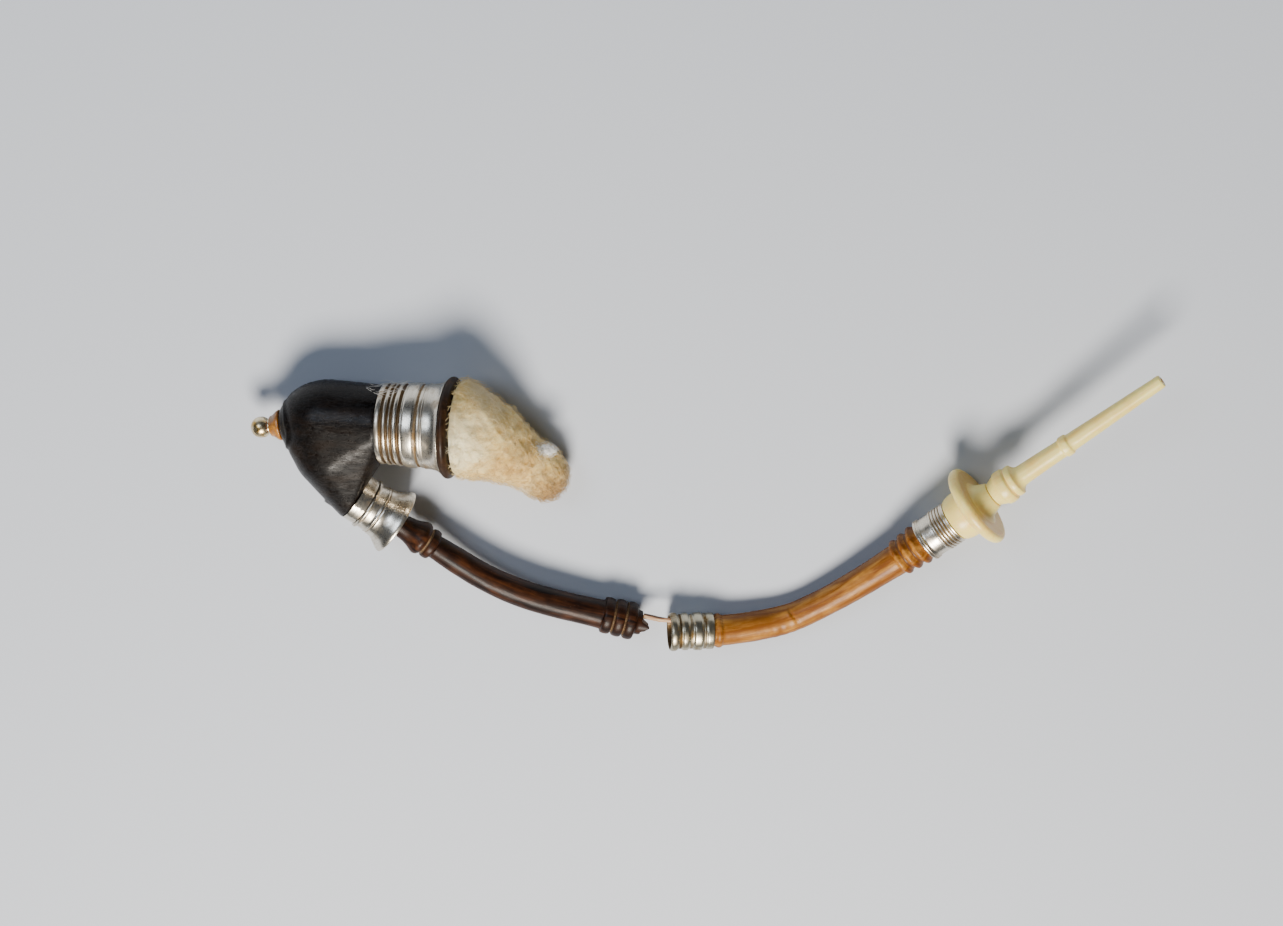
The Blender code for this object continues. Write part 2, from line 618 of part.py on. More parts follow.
def settle():
    """Moves the whole model so that its box stands on Z = 0, centred on the Z axis."""
    view = bpy.context.evaluated_depsgraph_get()
    view.update()
    low = Vector((math.inf,) * 3)
    high = Vector((-math.inf,) * 3)
    for piece in PARTS.objects:
        evaluated = piece.evaluated_get(view)
        for vertex in evaluated.data.vertices:
            place = evaluated.matrix_world @ vertex.co
            low = Vector(map(min, low, place))
            high = Vector(map(max, high, place))
    ROOT.location -= Vector(((low.x + high.x) / 2, (low.y + high.y) / 2, low.z))


def build():
    bowl = axis_frame("bowl_axis", BOWL_START, heading(*BOWL_HEADING), Vector((0.0, 0.0, 1.0)))
    socket = axis_frame("socket_axis", SOCKET_START, heading(*SOCKET_HEADING),
                        heading(*LOWER_STEM_END_HEADING))
    drain = axis_frame("drain_axis", DRAIN_START, heading(*DRAIN_HEADING), Vector((0.0, 0.0, 1.0)))
    upper = axis_frame("upper_axis", UPPER_START, heading(*UPPER_HEADING), heading(*NOZZLE_HEADING))
    build_reservoir(bowl, socket, drain)
    build_drain_screw(drain)
    build_bowl(bowl)
    build_cotton()
    build_socket(socket)
    end = build_lower_stem(socket)
    build_splinter(end, upper)
    build_mid_ferrule(upper)
    build_upper_stem(upper)
    # beyond the last ring the stem is straight, so stations go on along one axis
    straight = path_frame("nozzle_axis", upper, UPPER_BENDS, UPPER_STEM_END)
    shift = Matrix.Translation((0.0, 0.0, -UPPER_STEM_END * MM))
    straight.matrix_basis = straight.matrix_basis @ shift
    build_upper_ferrule(straight)
    build_mouthpiece(straight)
    settle()


clear_scene()
PARTS = collection("apothecary_inhaler")
CUTTERS = collection("cutters_and_guides")
ROOT = bpy.data.objects.new("model_origin", None)
CUTTERS.objects.link(ROOT)

HORN = material("dark_horn", (0.035, 0.02, 0.014), 0.25)
DARK_HORN = material("dark_brown_horn", (0.07, 0.028, 0.012), 0.3)
LIGHT_HORN = material("golden_brown_horn", (0.45, 0.22, 0.07), 0.35)
SILVER = material("silver", (0.78, 0.76, 0.7), 0.3, 1.0)
PEWTER = material("stained_pewter", (0.5, 0.48, 0.42), 0.4, 1.0)
BRASS = material("silvered_brass", (0.72, 0.62, 0.42), 0.3, 1.0)
AMBER = material("amber_resin", (0.5, 0.24, 0.04), 0.35)
COTTON = material("stained_cotton", (0.78, 0.68, 0.48), 1.0)
CORK = material("cork", (0.42, 0.27, 0.15), 0.9)
THREAD = material("waxed_thread", (0.5, 0.4, 0.28), 0.9)
SPLINTER = material("raw_horn_splinter", (0.6, 0.36, 0.25), 0.6)
BONE = material("bone", (0.88, 0.82, 0.62), 0.4)

build()
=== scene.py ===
"""Looks for the antique horn, silver and bone apothecary inhaler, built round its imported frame.

Lengths are in millimetres until a mesh is written; the frame and the meshes are in metres.
"""

import json
import math
import random

import bmesh
import bpy
from mathutils import Matrix, Vector, noise


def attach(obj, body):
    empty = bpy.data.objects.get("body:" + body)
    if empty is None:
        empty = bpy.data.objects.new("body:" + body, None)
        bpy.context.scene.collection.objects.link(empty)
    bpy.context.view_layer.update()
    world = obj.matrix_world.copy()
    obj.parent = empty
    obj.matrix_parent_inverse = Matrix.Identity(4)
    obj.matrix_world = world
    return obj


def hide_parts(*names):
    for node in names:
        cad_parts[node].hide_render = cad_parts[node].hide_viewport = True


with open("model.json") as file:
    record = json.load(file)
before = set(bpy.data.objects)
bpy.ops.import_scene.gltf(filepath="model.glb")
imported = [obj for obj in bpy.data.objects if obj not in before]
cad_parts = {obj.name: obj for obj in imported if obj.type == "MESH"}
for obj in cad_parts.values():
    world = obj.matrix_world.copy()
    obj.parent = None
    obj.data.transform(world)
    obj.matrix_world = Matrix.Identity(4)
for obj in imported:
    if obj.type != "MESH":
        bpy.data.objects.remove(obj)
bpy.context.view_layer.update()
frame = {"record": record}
MM = 0.001
UP = Vector((0.0, 0.0, 1.0))


# ---------------------------------------------------------------- frames of the CAD model

def heading(azimuth, rise):
    turn = math.radians(azimuth)
    lift = math.radians(rise)
    return Vector((math.cos(turn) * math.cos(lift), math.sin(turn) * math.cos(lift), math.sin(lift)))


JOINTS = {joint["name"]: joint for joint in frame["record"]["behaviour"]["joints"]}
SHIFT = Vector(JOINTS["stem_turn"]["pos_m"]) / MM - Vector((-45.2, 2.5, 5.06))


def stand(start, along, towards):
    """A matrix in millimetres at start, with +Z along one direction and +X leaning to another."""
    z_axis = along.normalized()
    x_axis = (towards - z_axis * towards.dot(z_axis)).normalized()
    y_axis = z_axis.cross(x_axis)
    made = Matrix((x_axis, y_axis, z_axis)).transposed().to_4x4()
    made.translation = Vector(start) + SHIFT
    return made


BOWL = stand((-41.0, 13.0, 6.16), heading(-1.0, 8.5), UP)
SOCKET = stand((-45.2, 2.5, 5.06), heading(-36.5, -3.7), heading(-14.5, -2.0))
DRAIN = stand((-54.2, 12.3, 4.9), heading(188.0, -5.0), UP)
UPPER = stand((-3.95, -17.79, 3.42), heading(-1.5, -7.5), heading(41.0, 8.4))
LOWER_BENDS = ((17.5, 0.0), (11.0, 18.0), (6.0, 4.0))
UPPER_BENDS = ((6.2, 0.0), (2.8, 8.0), (4.5, 5.0), (5.5, 20.0), (7.0, 6.5), (9.5, 5.0))
UPPER_STEM_END = 38.0


def along_bends(base, bends, station):
    """The matrix at a station of a centre line that bends in the base's XZ plane."""
    x = 0.0
    z = min(station, 0.0)
    angle = 0.0
    left = max(station, 0.0)
    for length, turn in (*bends, (1000.0, 0.0)):
        step = min(length, left)
        curvature = math.radians(turn) / length
        if curvature:
            after = angle + curvature * step
            x += (math.cos(angle) - math.cos(after)) / curvature
            z += (math.sin(after) - math.sin(angle)) / curvature
            angle = after
        else:
            x += step * math.sin(angle)
            z += step * math.cos(angle)
        left -= step
    return base @ Matrix.Translation((x, 0.0, z)) @ Matrix.Rotation(angle, 4, "Y")


def straight(base):
    return lambda station: base @ Matrix.Translation((0.0, 0.0, station))


def lower(station):
    return along_bends(SOCKET, LOWER_BENDS, station)


def upper(station):
    return along_bends(UPPER, UPPER_BENDS, station)


NOZZLE = upper(UPPER_STEM_END) @ Matrix.Translation((0.0, 0.0, -UPPER_STEM_END))


# ---------------------------------------------------------------- meshes

def fbm(point, scale, octaves=3):
    """Soft noise of about -1 to 1."""
    total = 0.0
    size = 1.0
    for octave in range(octaves):
        total += noise.noise(point * scale * 2.0 ** octave + Vector((7.1, 3.7, 9.2)) * octave) * size
        size *= 0.5
    return total


def rounded(points, times=2, share=0.25):
    """Cuts the corners of an open run of points."""
    for _ in range(times):
        made = [points[0]]
        for first, second in zip(points, points[1:]):
            a = Vector(first)
            b = Vector(second)
            made.append(tuple(a.lerp(b, share)))
            made.append(tuple(a.lerp(b, 1.0 - share)))
        made.append(points[-1])
        points = made
    return points


def filled(points, spacing):
    """Adds points so that no step is longer than spacing."""
    made = [points[0]]
    for first, second in zip(points, points[1:]):
        a = Vector(first)
        b = Vector(second)
        pieces = max(1, math.ceil((b - a).length / spacing))
        made += [tuple(a.lerp(b, (index + 1) / pieces)) for index in range(pieces)]
    return made


def grooves(points, reach=0.5, depth=0.16):
    """0 on a crest and 1 at the bottom of a groove, for each (station, radius) point."""
    found = []
    for station, radius in points:
        before = max(other for place, other in points if 0.0 <= station - place <= reach)
        after = max(other for place, other in points if 0.0 <= place - station <= reach)
        found.append(max(0.0, min(1.0, (min(before, after) - radius) / depth)))
    return found


def write_mesh(name, points, faces, finish, floats=(), vectors=()):
    mesh = bpy.data.meshes.new(name)
    mesh.from_pydata([point * MM for point in points], [], faces)
    for label, values in floats:
        mesh.attributes.new(label, "FLOAT", "POINT").data.foreach_set("value", values)
    for label, values in vectors:
        flat = [number for value in values for number in value]
        mesh.attributes.new(label, "FLOAT_VECTOR", "POINT").data.foreach_set("vector", flat)
    shape = bmesh.new()
    shape.from_mesh(mesh)
    bmesh.ops.recalc_face_normals(shape, faces=shape.faces)
    shape.to_mesh(mesh)
    shape.free()
    mesh.materials.append(finish)
    mesh.shade_smooth()
    piece = bpy.data.objects.new(name, mesh)
    bpy.context.scene.collection.objects.link(piece)
    return piece


def sweep(name, at, outside, finish, inside=(), steps=96, tweak=None, spacing=0.5, soft=2):
    """A turned or bent piece. at(station) is the matrix there.

    outside and inside are (station, radius) points. A piece with an inside is a closed sleeve;
    one without starts and ends on the axis. tweak(place, radius, angle) gives the station and
    the radius of one point, to make the surface uneven.
    """
    outer = filled(rounded(list(outside), soft), spacing)
    worn = grooves(outer)
    rows = list(zip(outer, worn))
    if inside:
        inner = filled(rounded(list(inside), 1), spacing)
        rows += [(point, 1.0) for point in reversed(inner)]
    points = []
    cavity = []
    local = []
    rings = []
    for (station, radius), groove in rows:
        ring = []
        count = steps if radius > 0.001 else 1
        for index in range(count):
            angle = math.tau * index / steps
            place, reach = (station, radius)
            if tweak:
                place, reach = tweak(station, radius, angle)
            side = Vector((reach * math.cos(angle), reach * math.sin(angle), 0.0))
            ring.append(len(points))
            points.append(at(place) @ side)
            cavity.append(groove)
            local.append((side.x, side.y, place))
        rings.append(ring)
    faces = []
    pairs = list(zip(rings, rings[1:]))
    if inside:
        pairs.append((rings[-1], rings[0]))
    for first, second in pairs:
        for index in range(steps):
            after = (index + 1) % steps
            if len(first) == 1:
                faces.append((first[0], second[index], second[after]))
            elif len(second) == 1:
                faces.append((first[index], first[after], second[0]))
            else:
                faces.append((first[index], first[after], second[after], second[index]))
    return write_mesh(name, points, faces, finish, [("groove", cavity)], [("local", local)])


def uneven(amount, scale=0.6, seed=0.0):
    """A tweak for a hand-turned surface."""
    def change(station, radius, angle):
        spot = Vector((math.cos(angle) * 2.0, math.sin(angle) * 2.0, station * 0.7 + seed))
        return station, radius + amount * fbm(spot, scale, 2)
    return change


def bead(start, end, base, crest, points=7):
    """Profile points of one rounded ring."""
    ring = []
    for index in range(points):
        angle = math.pi * index / (points - 1)
        station = (start + end) / 2 - (end - start) / 2 * math.cos(angle)
        ring.append((station, base + (crest - base) * math.sin(angle) ** 0.6))
    return ring


def keep(piece, body, slot, *nodes):
    """Says what a piece rides on and the CAD nodes it stands for. The slot argument is not used."""
    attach(piece, body)
    if nodes:
        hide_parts(*nodes)
    return piece


# ---------------------------------------------------------------- materials

class Finish:
    """A material and short ways to add nodes to it."""

    def __init__(self, name, **values):
        self.material = bpy.data.materials.new(name)
        self.material.use_nodes = True
        self.tree = self.material.node_tree
        self.shader = self.tree.nodes["Principled BSDF"]
        for socket, value in values.items():
            self.shader.inputs[socket.replace("_", " ")].default_value = value

    def node(self, kind, inputs=(), **settings):
        made = self.tree.nodes.new("ShaderNode" + kind)
        for setting, value in settings.items():
            setattr(made, setting, value)
        for socket, value in dict(inputs).items():
            if isinstance(value, bpy.types.NodeSocket):
                self.tree.links.new(value, made.inputs[socket])
            else:
                made.inputs[socket].default_value = value
        return made

    def attribute(self, label, output="Vector"):
        return self.node("Attribute", attribute_name=label).outputs[output]

    def world(self):
        return self.node("TexCoord").outputs["Object"]

    def stretched(self, vector, scale, turn=(0.0, 0.0, 0.0)):
        angles = tuple(math.radians(angle) for angle in turn)
        inputs = {"Vector": vector, "Scale": scale, "Rotation": angles}
        return self.node("Mapping", inputs).outputs["Vector"]

    def noise(self, vector, scale, detail=4.0, rough=0.55, bend=0.0):
        inputs = {"Vector": vector, "Scale": scale, "Detail": detail, "Roughness": rough}
        inputs["Distortion"] = bend
        return self.node("TexNoise", inputs).outputs["Fac"]

    def specks(self, vector, scale, size):
        """1 inside small scattered dots."""
        cells = self.node("TexVoronoi", {"Vector": vector, "Scale": scale, "Randomness": 1.0})
        return self.ramp(cells.outputs["Distance"], (size * 0.6, 1.0), (size, 0.0))

    def ramp(self, value, low, high):
        """Runs from low[1] at low[0] to high[1] at high[0], clamped."""
        inputs = {"Value": value, "From Min": low[0], "From Max": high[0]}
        inputs.update({"To Min": low[1], "To Max": high[1]})
        return self.node("MapRange", inputs, clamp=True).outputs["Result"]

    def maths(self, operation, first, second):
        inputs = {0: first, 1: second}
        return self.node("Math", inputs, operation=operation, use_clamp=False).outputs["Value"]

    def mix(self, share, first, second):
        made = self.tree.nodes.new("ShaderNodeMix")
        made.data_type = "RGBA"
        for socket, value in ((0, share), (6, first), (7, second)):
            if isinstance(value, bpy.types.NodeSocket):
                self.tree.links.new(value, made.inputs[socket])
            else:
                made.inputs[socket].default_value = (*value, 1.0) if socket else value
        return made.outputs[2]

    def spot(self, vector, centre, radius, soft=0.5, flat=(1.0, 1.0, 1.0)):
        """1 near a point of the model, in millimetres, falling to 0 at the radius."""
        away = self.node("VectorMath", {0: vector, 1: Vector(centre) * MM}, operation="SUBTRACT")
        scaled = self.node("VectorMath", {0: away.outputs[0], 1: flat}, operation="MULTIPLY")
        length = self.node("VectorMath", {0: scaled.outputs[0]}, operation="LENGTH")
        edge = radius * MM
        return self.ramp(length.outputs["Value"], (edge * (1.0 - soft), 1.0), (edge, 0.0))

    def bump(self, height, strength, distance):
        inputs = {"Height": height, "Strength": strength, "Distance": distance * MM}
        return self.node("Bump", inputs).outputs["Normal"]

    def wire(self, **links):
        for socket, value in links.items():
            self.tree.links.new(value, self.shader.inputs[socket.replace("_", " ")])
        return self.material


def metal(name, bright, tarnish, roughness, stain):
    """Old plated metal: bright on the crests, brown in the grooves, scratched round the axis."""
    finish = Finish(name, Metallic=1.0)
    local = finish.attribute("local")
    groove = finish.attribute("groove", "Fac")
    blotch = finish.noise(local, 0.55, 5.0, 0.6)
    fine = finish.noise(local, 3.5, 4.0, 0.65)
    lines = finish.noise(finish.stretched(local, (0.25, 0.25, 11.0)), 1.0, 3.0, 0.6)
    dirt = finish.maths("ADD", finish.ramp(groove, (0.1, 0.0), (0.75, 1.0)),
                        finish.ramp(blotch, (0.5, 0.0), (0.72, stain)))
    dirt = finish.maths("MULTIPLY", dirt, finish.ramp(fine, (0.3, 0.6), (0.6, 1.05)))
    dirt = finish.ramp(dirt, (0.0, 0.0), (1.0, 1.0))
    shade = finish.mix(finish.ramp(lines, (0.3, 0.0), (0.7, 0.35)), bright, tarnish)
    colour = finish.mix(dirt, shade, tarnish)
    deep = finish.mix(finish.ramp(groove, (0.55, 0.0), (1.0, 0.75)), colour, (0.045, 0.025, 0.012))
    gloss = finish.ramp(finish.maths("ADD", dirt, finish.maths("MULTIPLY", fine, 0.5)),
                        (0.1, roughness), (1.2, roughness + 0.3))
    height = finish.maths("ADD", finish.maths("MULTIPLY", lines, 0.6), fine)
    return finish.wire(Base_Color=deep, Roughness=gloss, Normal=finish.bump(height, 0.25, 0.03))


def horn(name, dark, light, roughness, streak=(1.6, 1.6, 0.16), local=True, coat=0.08, dust=0.35):
    """Polished horn with grain along the piece, fine scratches and dust."""
    finish = Finish(name, Coat_Weight=coat, Coat_Roughness=0.22, IOR=1.54, Specular_IOR_Level=0.14)
    if local:
        base = finish.attribute("local")
    else:
        base = finish.stretched(finish.world(), (1000.0, 1000.0, 1000.0))
    grain = finish.noise(finish.stretched(base, streak), 1.0, 6.0, 0.62, 0.4)
    cloud = finish.noise(base, 0.35, 3.0, 0.5)
    fine = finish.noise(finish.stretched(base, (6.0, 6.0, 0.7)), 1.0, 5.0, 0.65)
    share = finish.maths("MULTIPLY", finish.ramp(grain, (0.38, 0.0), (0.68, 1.0)),
                         finish.ramp(cloud, (0.35, 0.25), (0.62, 1.0)))
    colour = finish.mix(share, dark, light)
    speck = finish.specks(base, 1.7, 0.05)
    speck = finish.maths("MULTIPLY", speck, dust)
    colour = finish.mix(speck, colour, (0.42, 0.36, 0.27))
    gloss = finish.ramp(fine, (0.3, roughness), (0.7, roughness + 0.2))
    return finish, base, colour, gloss, fine


# Silver and white metal
SILVER = metal("tarnished_silver", (0.82, 0.78, 0.68), (0.28, 0.18, 0.08), 0.24, 0.8)
PEWTER = metal("stained_white_metal", (0.52, 0.49, 0.38), (0.16, 0.10, 0.035), 0.27, 1.0)


def brass_finish():
    finish = Finish("silvered_brass_finish", Metallic=1.0)
    local = finish.attribute("local")
    worn = finish.noise(local, 0.9, 4.0, 0.6)
    fine = finish.noise(local, 5.0, 4.0, 0.6)
    share = finish.ramp(worn, (0.42, 0.0), (0.62, 1.0))
    colour = finish.mix(share, (0.80, 0.70, 0.48), (0.50, 0.32, 0.10))
    gloss = finish.ramp(fine, (0.3, 0.2), (0.7, 0.38))
    return finish.wire(Base_Color=colour, Roughness=gloss, Normal=finish.bump(fine, 0.2, 0.02))


def amber_finish():
    finish = Finish("amber_resin_finish", Coat_Weight=0.5, Coat_Roughness=0.15, IOR=1.54,
                    Transmission_Weight=0.12, Subsurface_Weight=0.35, Subsurface_Scale=0.0006)
    finish.shader.inputs["Subsurface Radius"].default_value = (1.0, 0.45, 0.1)
    local = finish.attribute("local")
    cloud = finish.noise(local, 1.3, 4.0, 0.6)
    dots = finish.noise(local, 5.5, 2.0, 0.5)
    share = finish.ramp(cloud, (0.35, 0.0), (0.65, 1.0))
    colour = finish.mix(share, (0.25, 0.08, 0.008), (0.50, 0.22, 0.03))
    colour = finish.mix(finish.ramp(dots, (0.60, 0.0), (0.68, 0.9)), colour, (0.05, 0.02, 0.01))
    gloss = finish.ramp(dots, (0.3, 0.25), (0.7, 0.5))
    return finish.wire(Base_Color=colour, Roughness=gloss, Normal=finish.bump(cloud, 0.4, 0.1))


def reservoir_finish():
    finish, base, colour, gloss, fine = horn(
        "near_black_horn", (0.0012, 0.0006, 0.0005), (0.010, 0.005, 0.002), 0.20, (0.16, 1.1, 1.1), False)
    swirl = finish.noise(finish.stretched(base, (0.5, 2.2, 2.2), (0.0, 0.0, 35.0)), 1.0, 5.0, 0.7, 1.6)
    scratch = finish.ramp(swirl, (0.47, 0.0), (0.53, 1.0))
    height = finish.maths("ADD", finish.maths("MULTIPLY", fine, 0.4), finish.maths("MULTIPLY", scratch, 0.5))
    gloss = finish.maths("ADD", gloss, finish.ramp(swirl, (0.4, 0.0), (0.7, 0.12)))
    return finish.wire(Base_Color=colour, Roughness=gloss, Normal=finish.bump(height, 0.5, 0.06))


def rim_finish():
    finish, _, colour, gloss, fine = horn(
        "dark_rim_horn", (0.014, 0.006, 0.002), (0.060, 0.026, 0.009), 0.4, (1.2, 1.2, 1.2))
    return finish.wire(Base_Color=colour, Roughness=gloss, Normal=finish.bump(fine, 0.4, 0.05))


def dark_stem_finish():
    finish, _, colour, gloss, fine = horn(
        "dark_brown_stem_horn", (0.006, 0.0016, 0.0008), (0.075, 0.024, 0.007), 0.38)
    groove = finish.attribute("groove", "Fac")
    dust = finish.maths("MULTIPLY", finish.ramp(groove, (0.3, 0.0), (0.9, 0.7)),
                        finish.ramp(fine, (0.4, 0.2), (0.6, 1.0)))
    colour = finish.mix(dust, colour, (0.30, 0.20, 0.11))
    return finish.wire(Base_Color=colour, Roughness=gloss, Normal=finish.bump(fine, 0.35, 0.05))


def light_stem_finish():
    finish, local, colour, gloss, fine = horn(
        "golden_brown_stem_horn", (0.20, 0.065, 0.008), (0.60, 0.29, 0.055), 0.30, (1.1, 1.1, 0.13))
    split = finish.node("SeparateXYZ", {0: local})
    # Painted shade: the colour darkens towards the underside (local -Y) and towards the edge that faces -Y in the
    # world (local -X).
    side = finish.ramp(split.outputs["X"], (-2.0, 1.0), (0.2, 0.0))
    underside_painted_shade = finish.ramp(split.outputs["Y"], (-1.8, 1.0), (0.4, 0.0))
    shade = finish.maths("MULTIPLY", finish.maths("MAXIMUM", side, underside_painted_shade), 0.85)
    colour = finish.mix(shade, colour, (0.085, 0.025, 0.006))
    groove = finish.attribute("groove", "Fac")
    colour = finish.mix(finish.ramp(groove, (0.25, 0.0), (0.9, 0.8)), colour, (0.09, 0.035, 0.012))
    wrinkle = finish.noise(finish.stretched(local, (0.4, 0.4, 3.0)), 1.0, 4.0, 0.6, 0.8)
    height = finish.maths("ADD", fine, finish.maths("MULTIPLY", wrinkle, 0.8))
    finish.shader.inputs["Subsurface Weight"].default_value = 0.12
    finish.shader.inputs["Subsurface Scale"].default_value = 0.0008
    finish.shader.inputs["Subsurface Radius"].default_value = (1.0, 0.5, 0.2)
    return finish.wire(Base_Color=colour, Roughness=gloss, Normal=finish.bump(height, 0.3, 0.05))


def bone_finish():
    finish = Finish("old_bone", IOR=1.52, Coat_Weight=0.15, Coat_Roughness=0.2,
                    Subsurface_Weight=0.45, Subsurface_Scale=0.0012)
    finish.shader.inputs["Subsurface Radius"].default_value = (1.0, 0.72, 0.38)
    local = finish.attribute("local")
    grain = finish.noise(finish.stretched(local, (2.2, 2.2, 0.14)), 1.0, 6.0, 0.6, 0.3)
    cloud = finish.noise(local, 0.3, 3.0, 0.5)
    fine = finish.noise(finish.stretched(local, (5.0, 5.0, 2.0)), 1.0, 4.0, 0.6)
    groove = finish.attribute("groove", "Fac")
    share = finish.maths("ADD", finish.ramp(grain, (0.5, 0.0), (0.75, 0.35)),
                         finish.ramp(cloud, (0.45, 0.0), (0.7, 0.4)))
    colour = finish.mix(share, (0.98, 0.78, 0.25), (0.80, 0.45, 0.06))
    colour = finish.mix(finish.ramp(groove, (0.3, 0.0), (1.0, 0.45)), colour, (0.55, 0.29, 0.06))
    gloss = finish.ramp(fine, (0.3, 0.28), (0.7, 0.45))
    return finish.wire(Base_Color=colour, Roughness=gloss, Normal=finish.bump(fine, 0.2, 0.04))


def thread_finish(name, light, dark):
    finish = Finish(name, Roughness=0.9)
    local = finish.attribute("local")
    fine = finish.noise(finish.stretched(local, (1.0, 1.0, 6.0)), 1.5, 4.0, 0.7)
    colour = finish.mix(finish.ramp(fine, (0.35, 0.0), (0.65, 1.0)), light, dark)
    return finish.wire(Base_Color=colour, Normal=finish.bump(fine, 0.6, 0.08))


def torn_finish():
    """Raw torn horn: cream and copper, with dark skin left on the side that faced outwards."""
    finish = Finish("torn_horn", Roughness=0.5, Subsurface_Weight=0.2, Subsurface_Scale=0.0004)
    local = finish.attribute("local")
    grain = finish.noise(finish.stretched(local, (7.0, 7.0, 0.8)), 1.0, 4.0, 0.6)
    skin = finish.attribute("groove", "Fac")
    share = finish.ramp(grain, (0.35, 0.0), (0.65, 1.0))
    colour = finish.mix(share, (0.34, 0.15, 0.07), (0.66, 0.46, 0.26))
    colour = finish.mix(finish.ramp(skin, (0.35, 0.0), (0.75, 0.92)), colour, (0.09, 0.04, 0.02))
    return finish.wire(Base_Color=colour, Normal=finish.bump(grain, 0.5, 0.06))


def cotton_finish(name, stained):
    finish = Finish(name, Roughness=0.95, Sheen_Weight=0.15, Sheen_Roughness=0.5,
                    Subsurface_Weight=0.3, Subsurface_Scale=0.0015)
    finish.shader.inputs["Subsurface Radius"].default_value = (1.0, 0.85, 0.6)
    place = finish.world()
    large = finish.stretched(place, (1000.0, 1000.0, 1000.0))
    cloud = finish.noise(large, 0.22, 4.0, 0.6, 0.6)
    wisp = finish.noise(finish.stretched(large, (0.5, 1.6, 1.2), (0.0, 0.0, 35.0)), 1.2, 6.0, 0.65, 1.0)
    fine = finish.noise(large, 6.0, 5.0, 0.7, 0.5)
    if not stained:
        colour = finish.mix(finish.ramp(wisp, (0.3, 0.0), (0.7, 1.0)), (0.93, 0.90, 0.82), (0.97, 0.96, 0.93))
    else:
        colour = finish.mix(finish.ramp(wisp, (0.35, 0.0), (0.7, 1.0)), (0.80, 0.54, 0.15), (0.98, 0.82, 0.42))
        drift = finish.node("TexNoise", {"Vector": large, "Scale": 0.35}).outputs["Color"]
        wobble = finish.node("VectorMath", {0: drift, 1: (0.5, 0.5, 0.5)}, operation="SUBTRACT")
        moved = finish.node("VectorMath", {0: wobble.outputs[0], 1: (0.0035,) * 3}, operation="MULTIPLY")
        bent = finish.node("VectorMath", {0: place, 1: moved.outputs[0]}, operation="ADD").outputs[0]
        for centre, radius, soft, flat, tone, most in COTTON_STAINS_AND_SHADE:
            share = finish.spot(bent, Vector(centre) + SHIFT, radius, soft, flat)
            share = finish.maths("MULTIPLY", share, finish.ramp(cloud, (0.2, most * 0.65), (0.7, most)))
            colour = finish.mix(share, colour, tone)
    height = finish.maths("ADD", finish.maths("MULTIPLY", wisp, 0.7), fine)
    return finish.wire(Base_Color=colour, Normal=finish.bump(height, 0.8, 0.12))


# centre, radius, softness, squeeze, colour, strongest share
COTTON_STAINS_AND_SHADE = (
    ((-31.2, 12.6, 11.5), 5.2, 0.8, (1.0, 1.0, 0.6), (0.99, 0.93, 0.66), 0.95),
    ((-25.0, 8.0, 8.0), 5.0, 0.8, (1.0, 1.0, 0.6), (0.60, 0.35, 0.09), 0.85),
    ((-19.5, 3.6, 4.0), 4.6, 0.7, (1.0, 1.0, 0.6), (0.38, 0.19, 0.045), 0.9),
    ((-20.9, 5.4, 5.5), 2.6, 0.9, (1.0, 1.0, 0.6), (0.62, 0.42, 0.16), 0.5),
    ((-30.9, 6.6, 7.5), 1.6, 0.8, (1.0, 1.0, 0.6), (0.42, 0.28, 0.14), 0.75),
    ((-22.9, 3.8, 4.5), 1.7, 0.8, (1.0, 1.0, 0.6), (0.93, 0.90, 0.80), 0.8),
    # Painted shade: a grey-brown patch on the wad's +Y side, where it curves away from the light. The other rows are
    # stains.
    ((-27.5, 17.0, 7.0), 4.0, 0.8, (1.0, 1.0, 0.6), (0.55, 0.45, 0.30), 0.65),
)


RESERVOIR = reservoir_finish()
RIM = rim_finish()
AMBER = amber_finish()
BRASS = brass_finish()
COTTON = cotton_finish("cotton_stains_and_shade", True)
WHITE_COTTON = cotton_finish("cotton_clean", False)
DARK_STEM = dark_stem_finish()
LIGHT_STEM = light_stem_finish()
BONE = bone_finish()
THREAD = thread_finish("waxed_thread_finish", (0.55, 0.44, 0.30), (0.30, 0.20, 0.11))
CORK = thread_finish("cork_finish", (0.46, 0.30, 0.17), (0.24, 0.13, 0.06))
TORN = torn_finish()


# ---------------------------------------------------------------- reservoir and drain screw

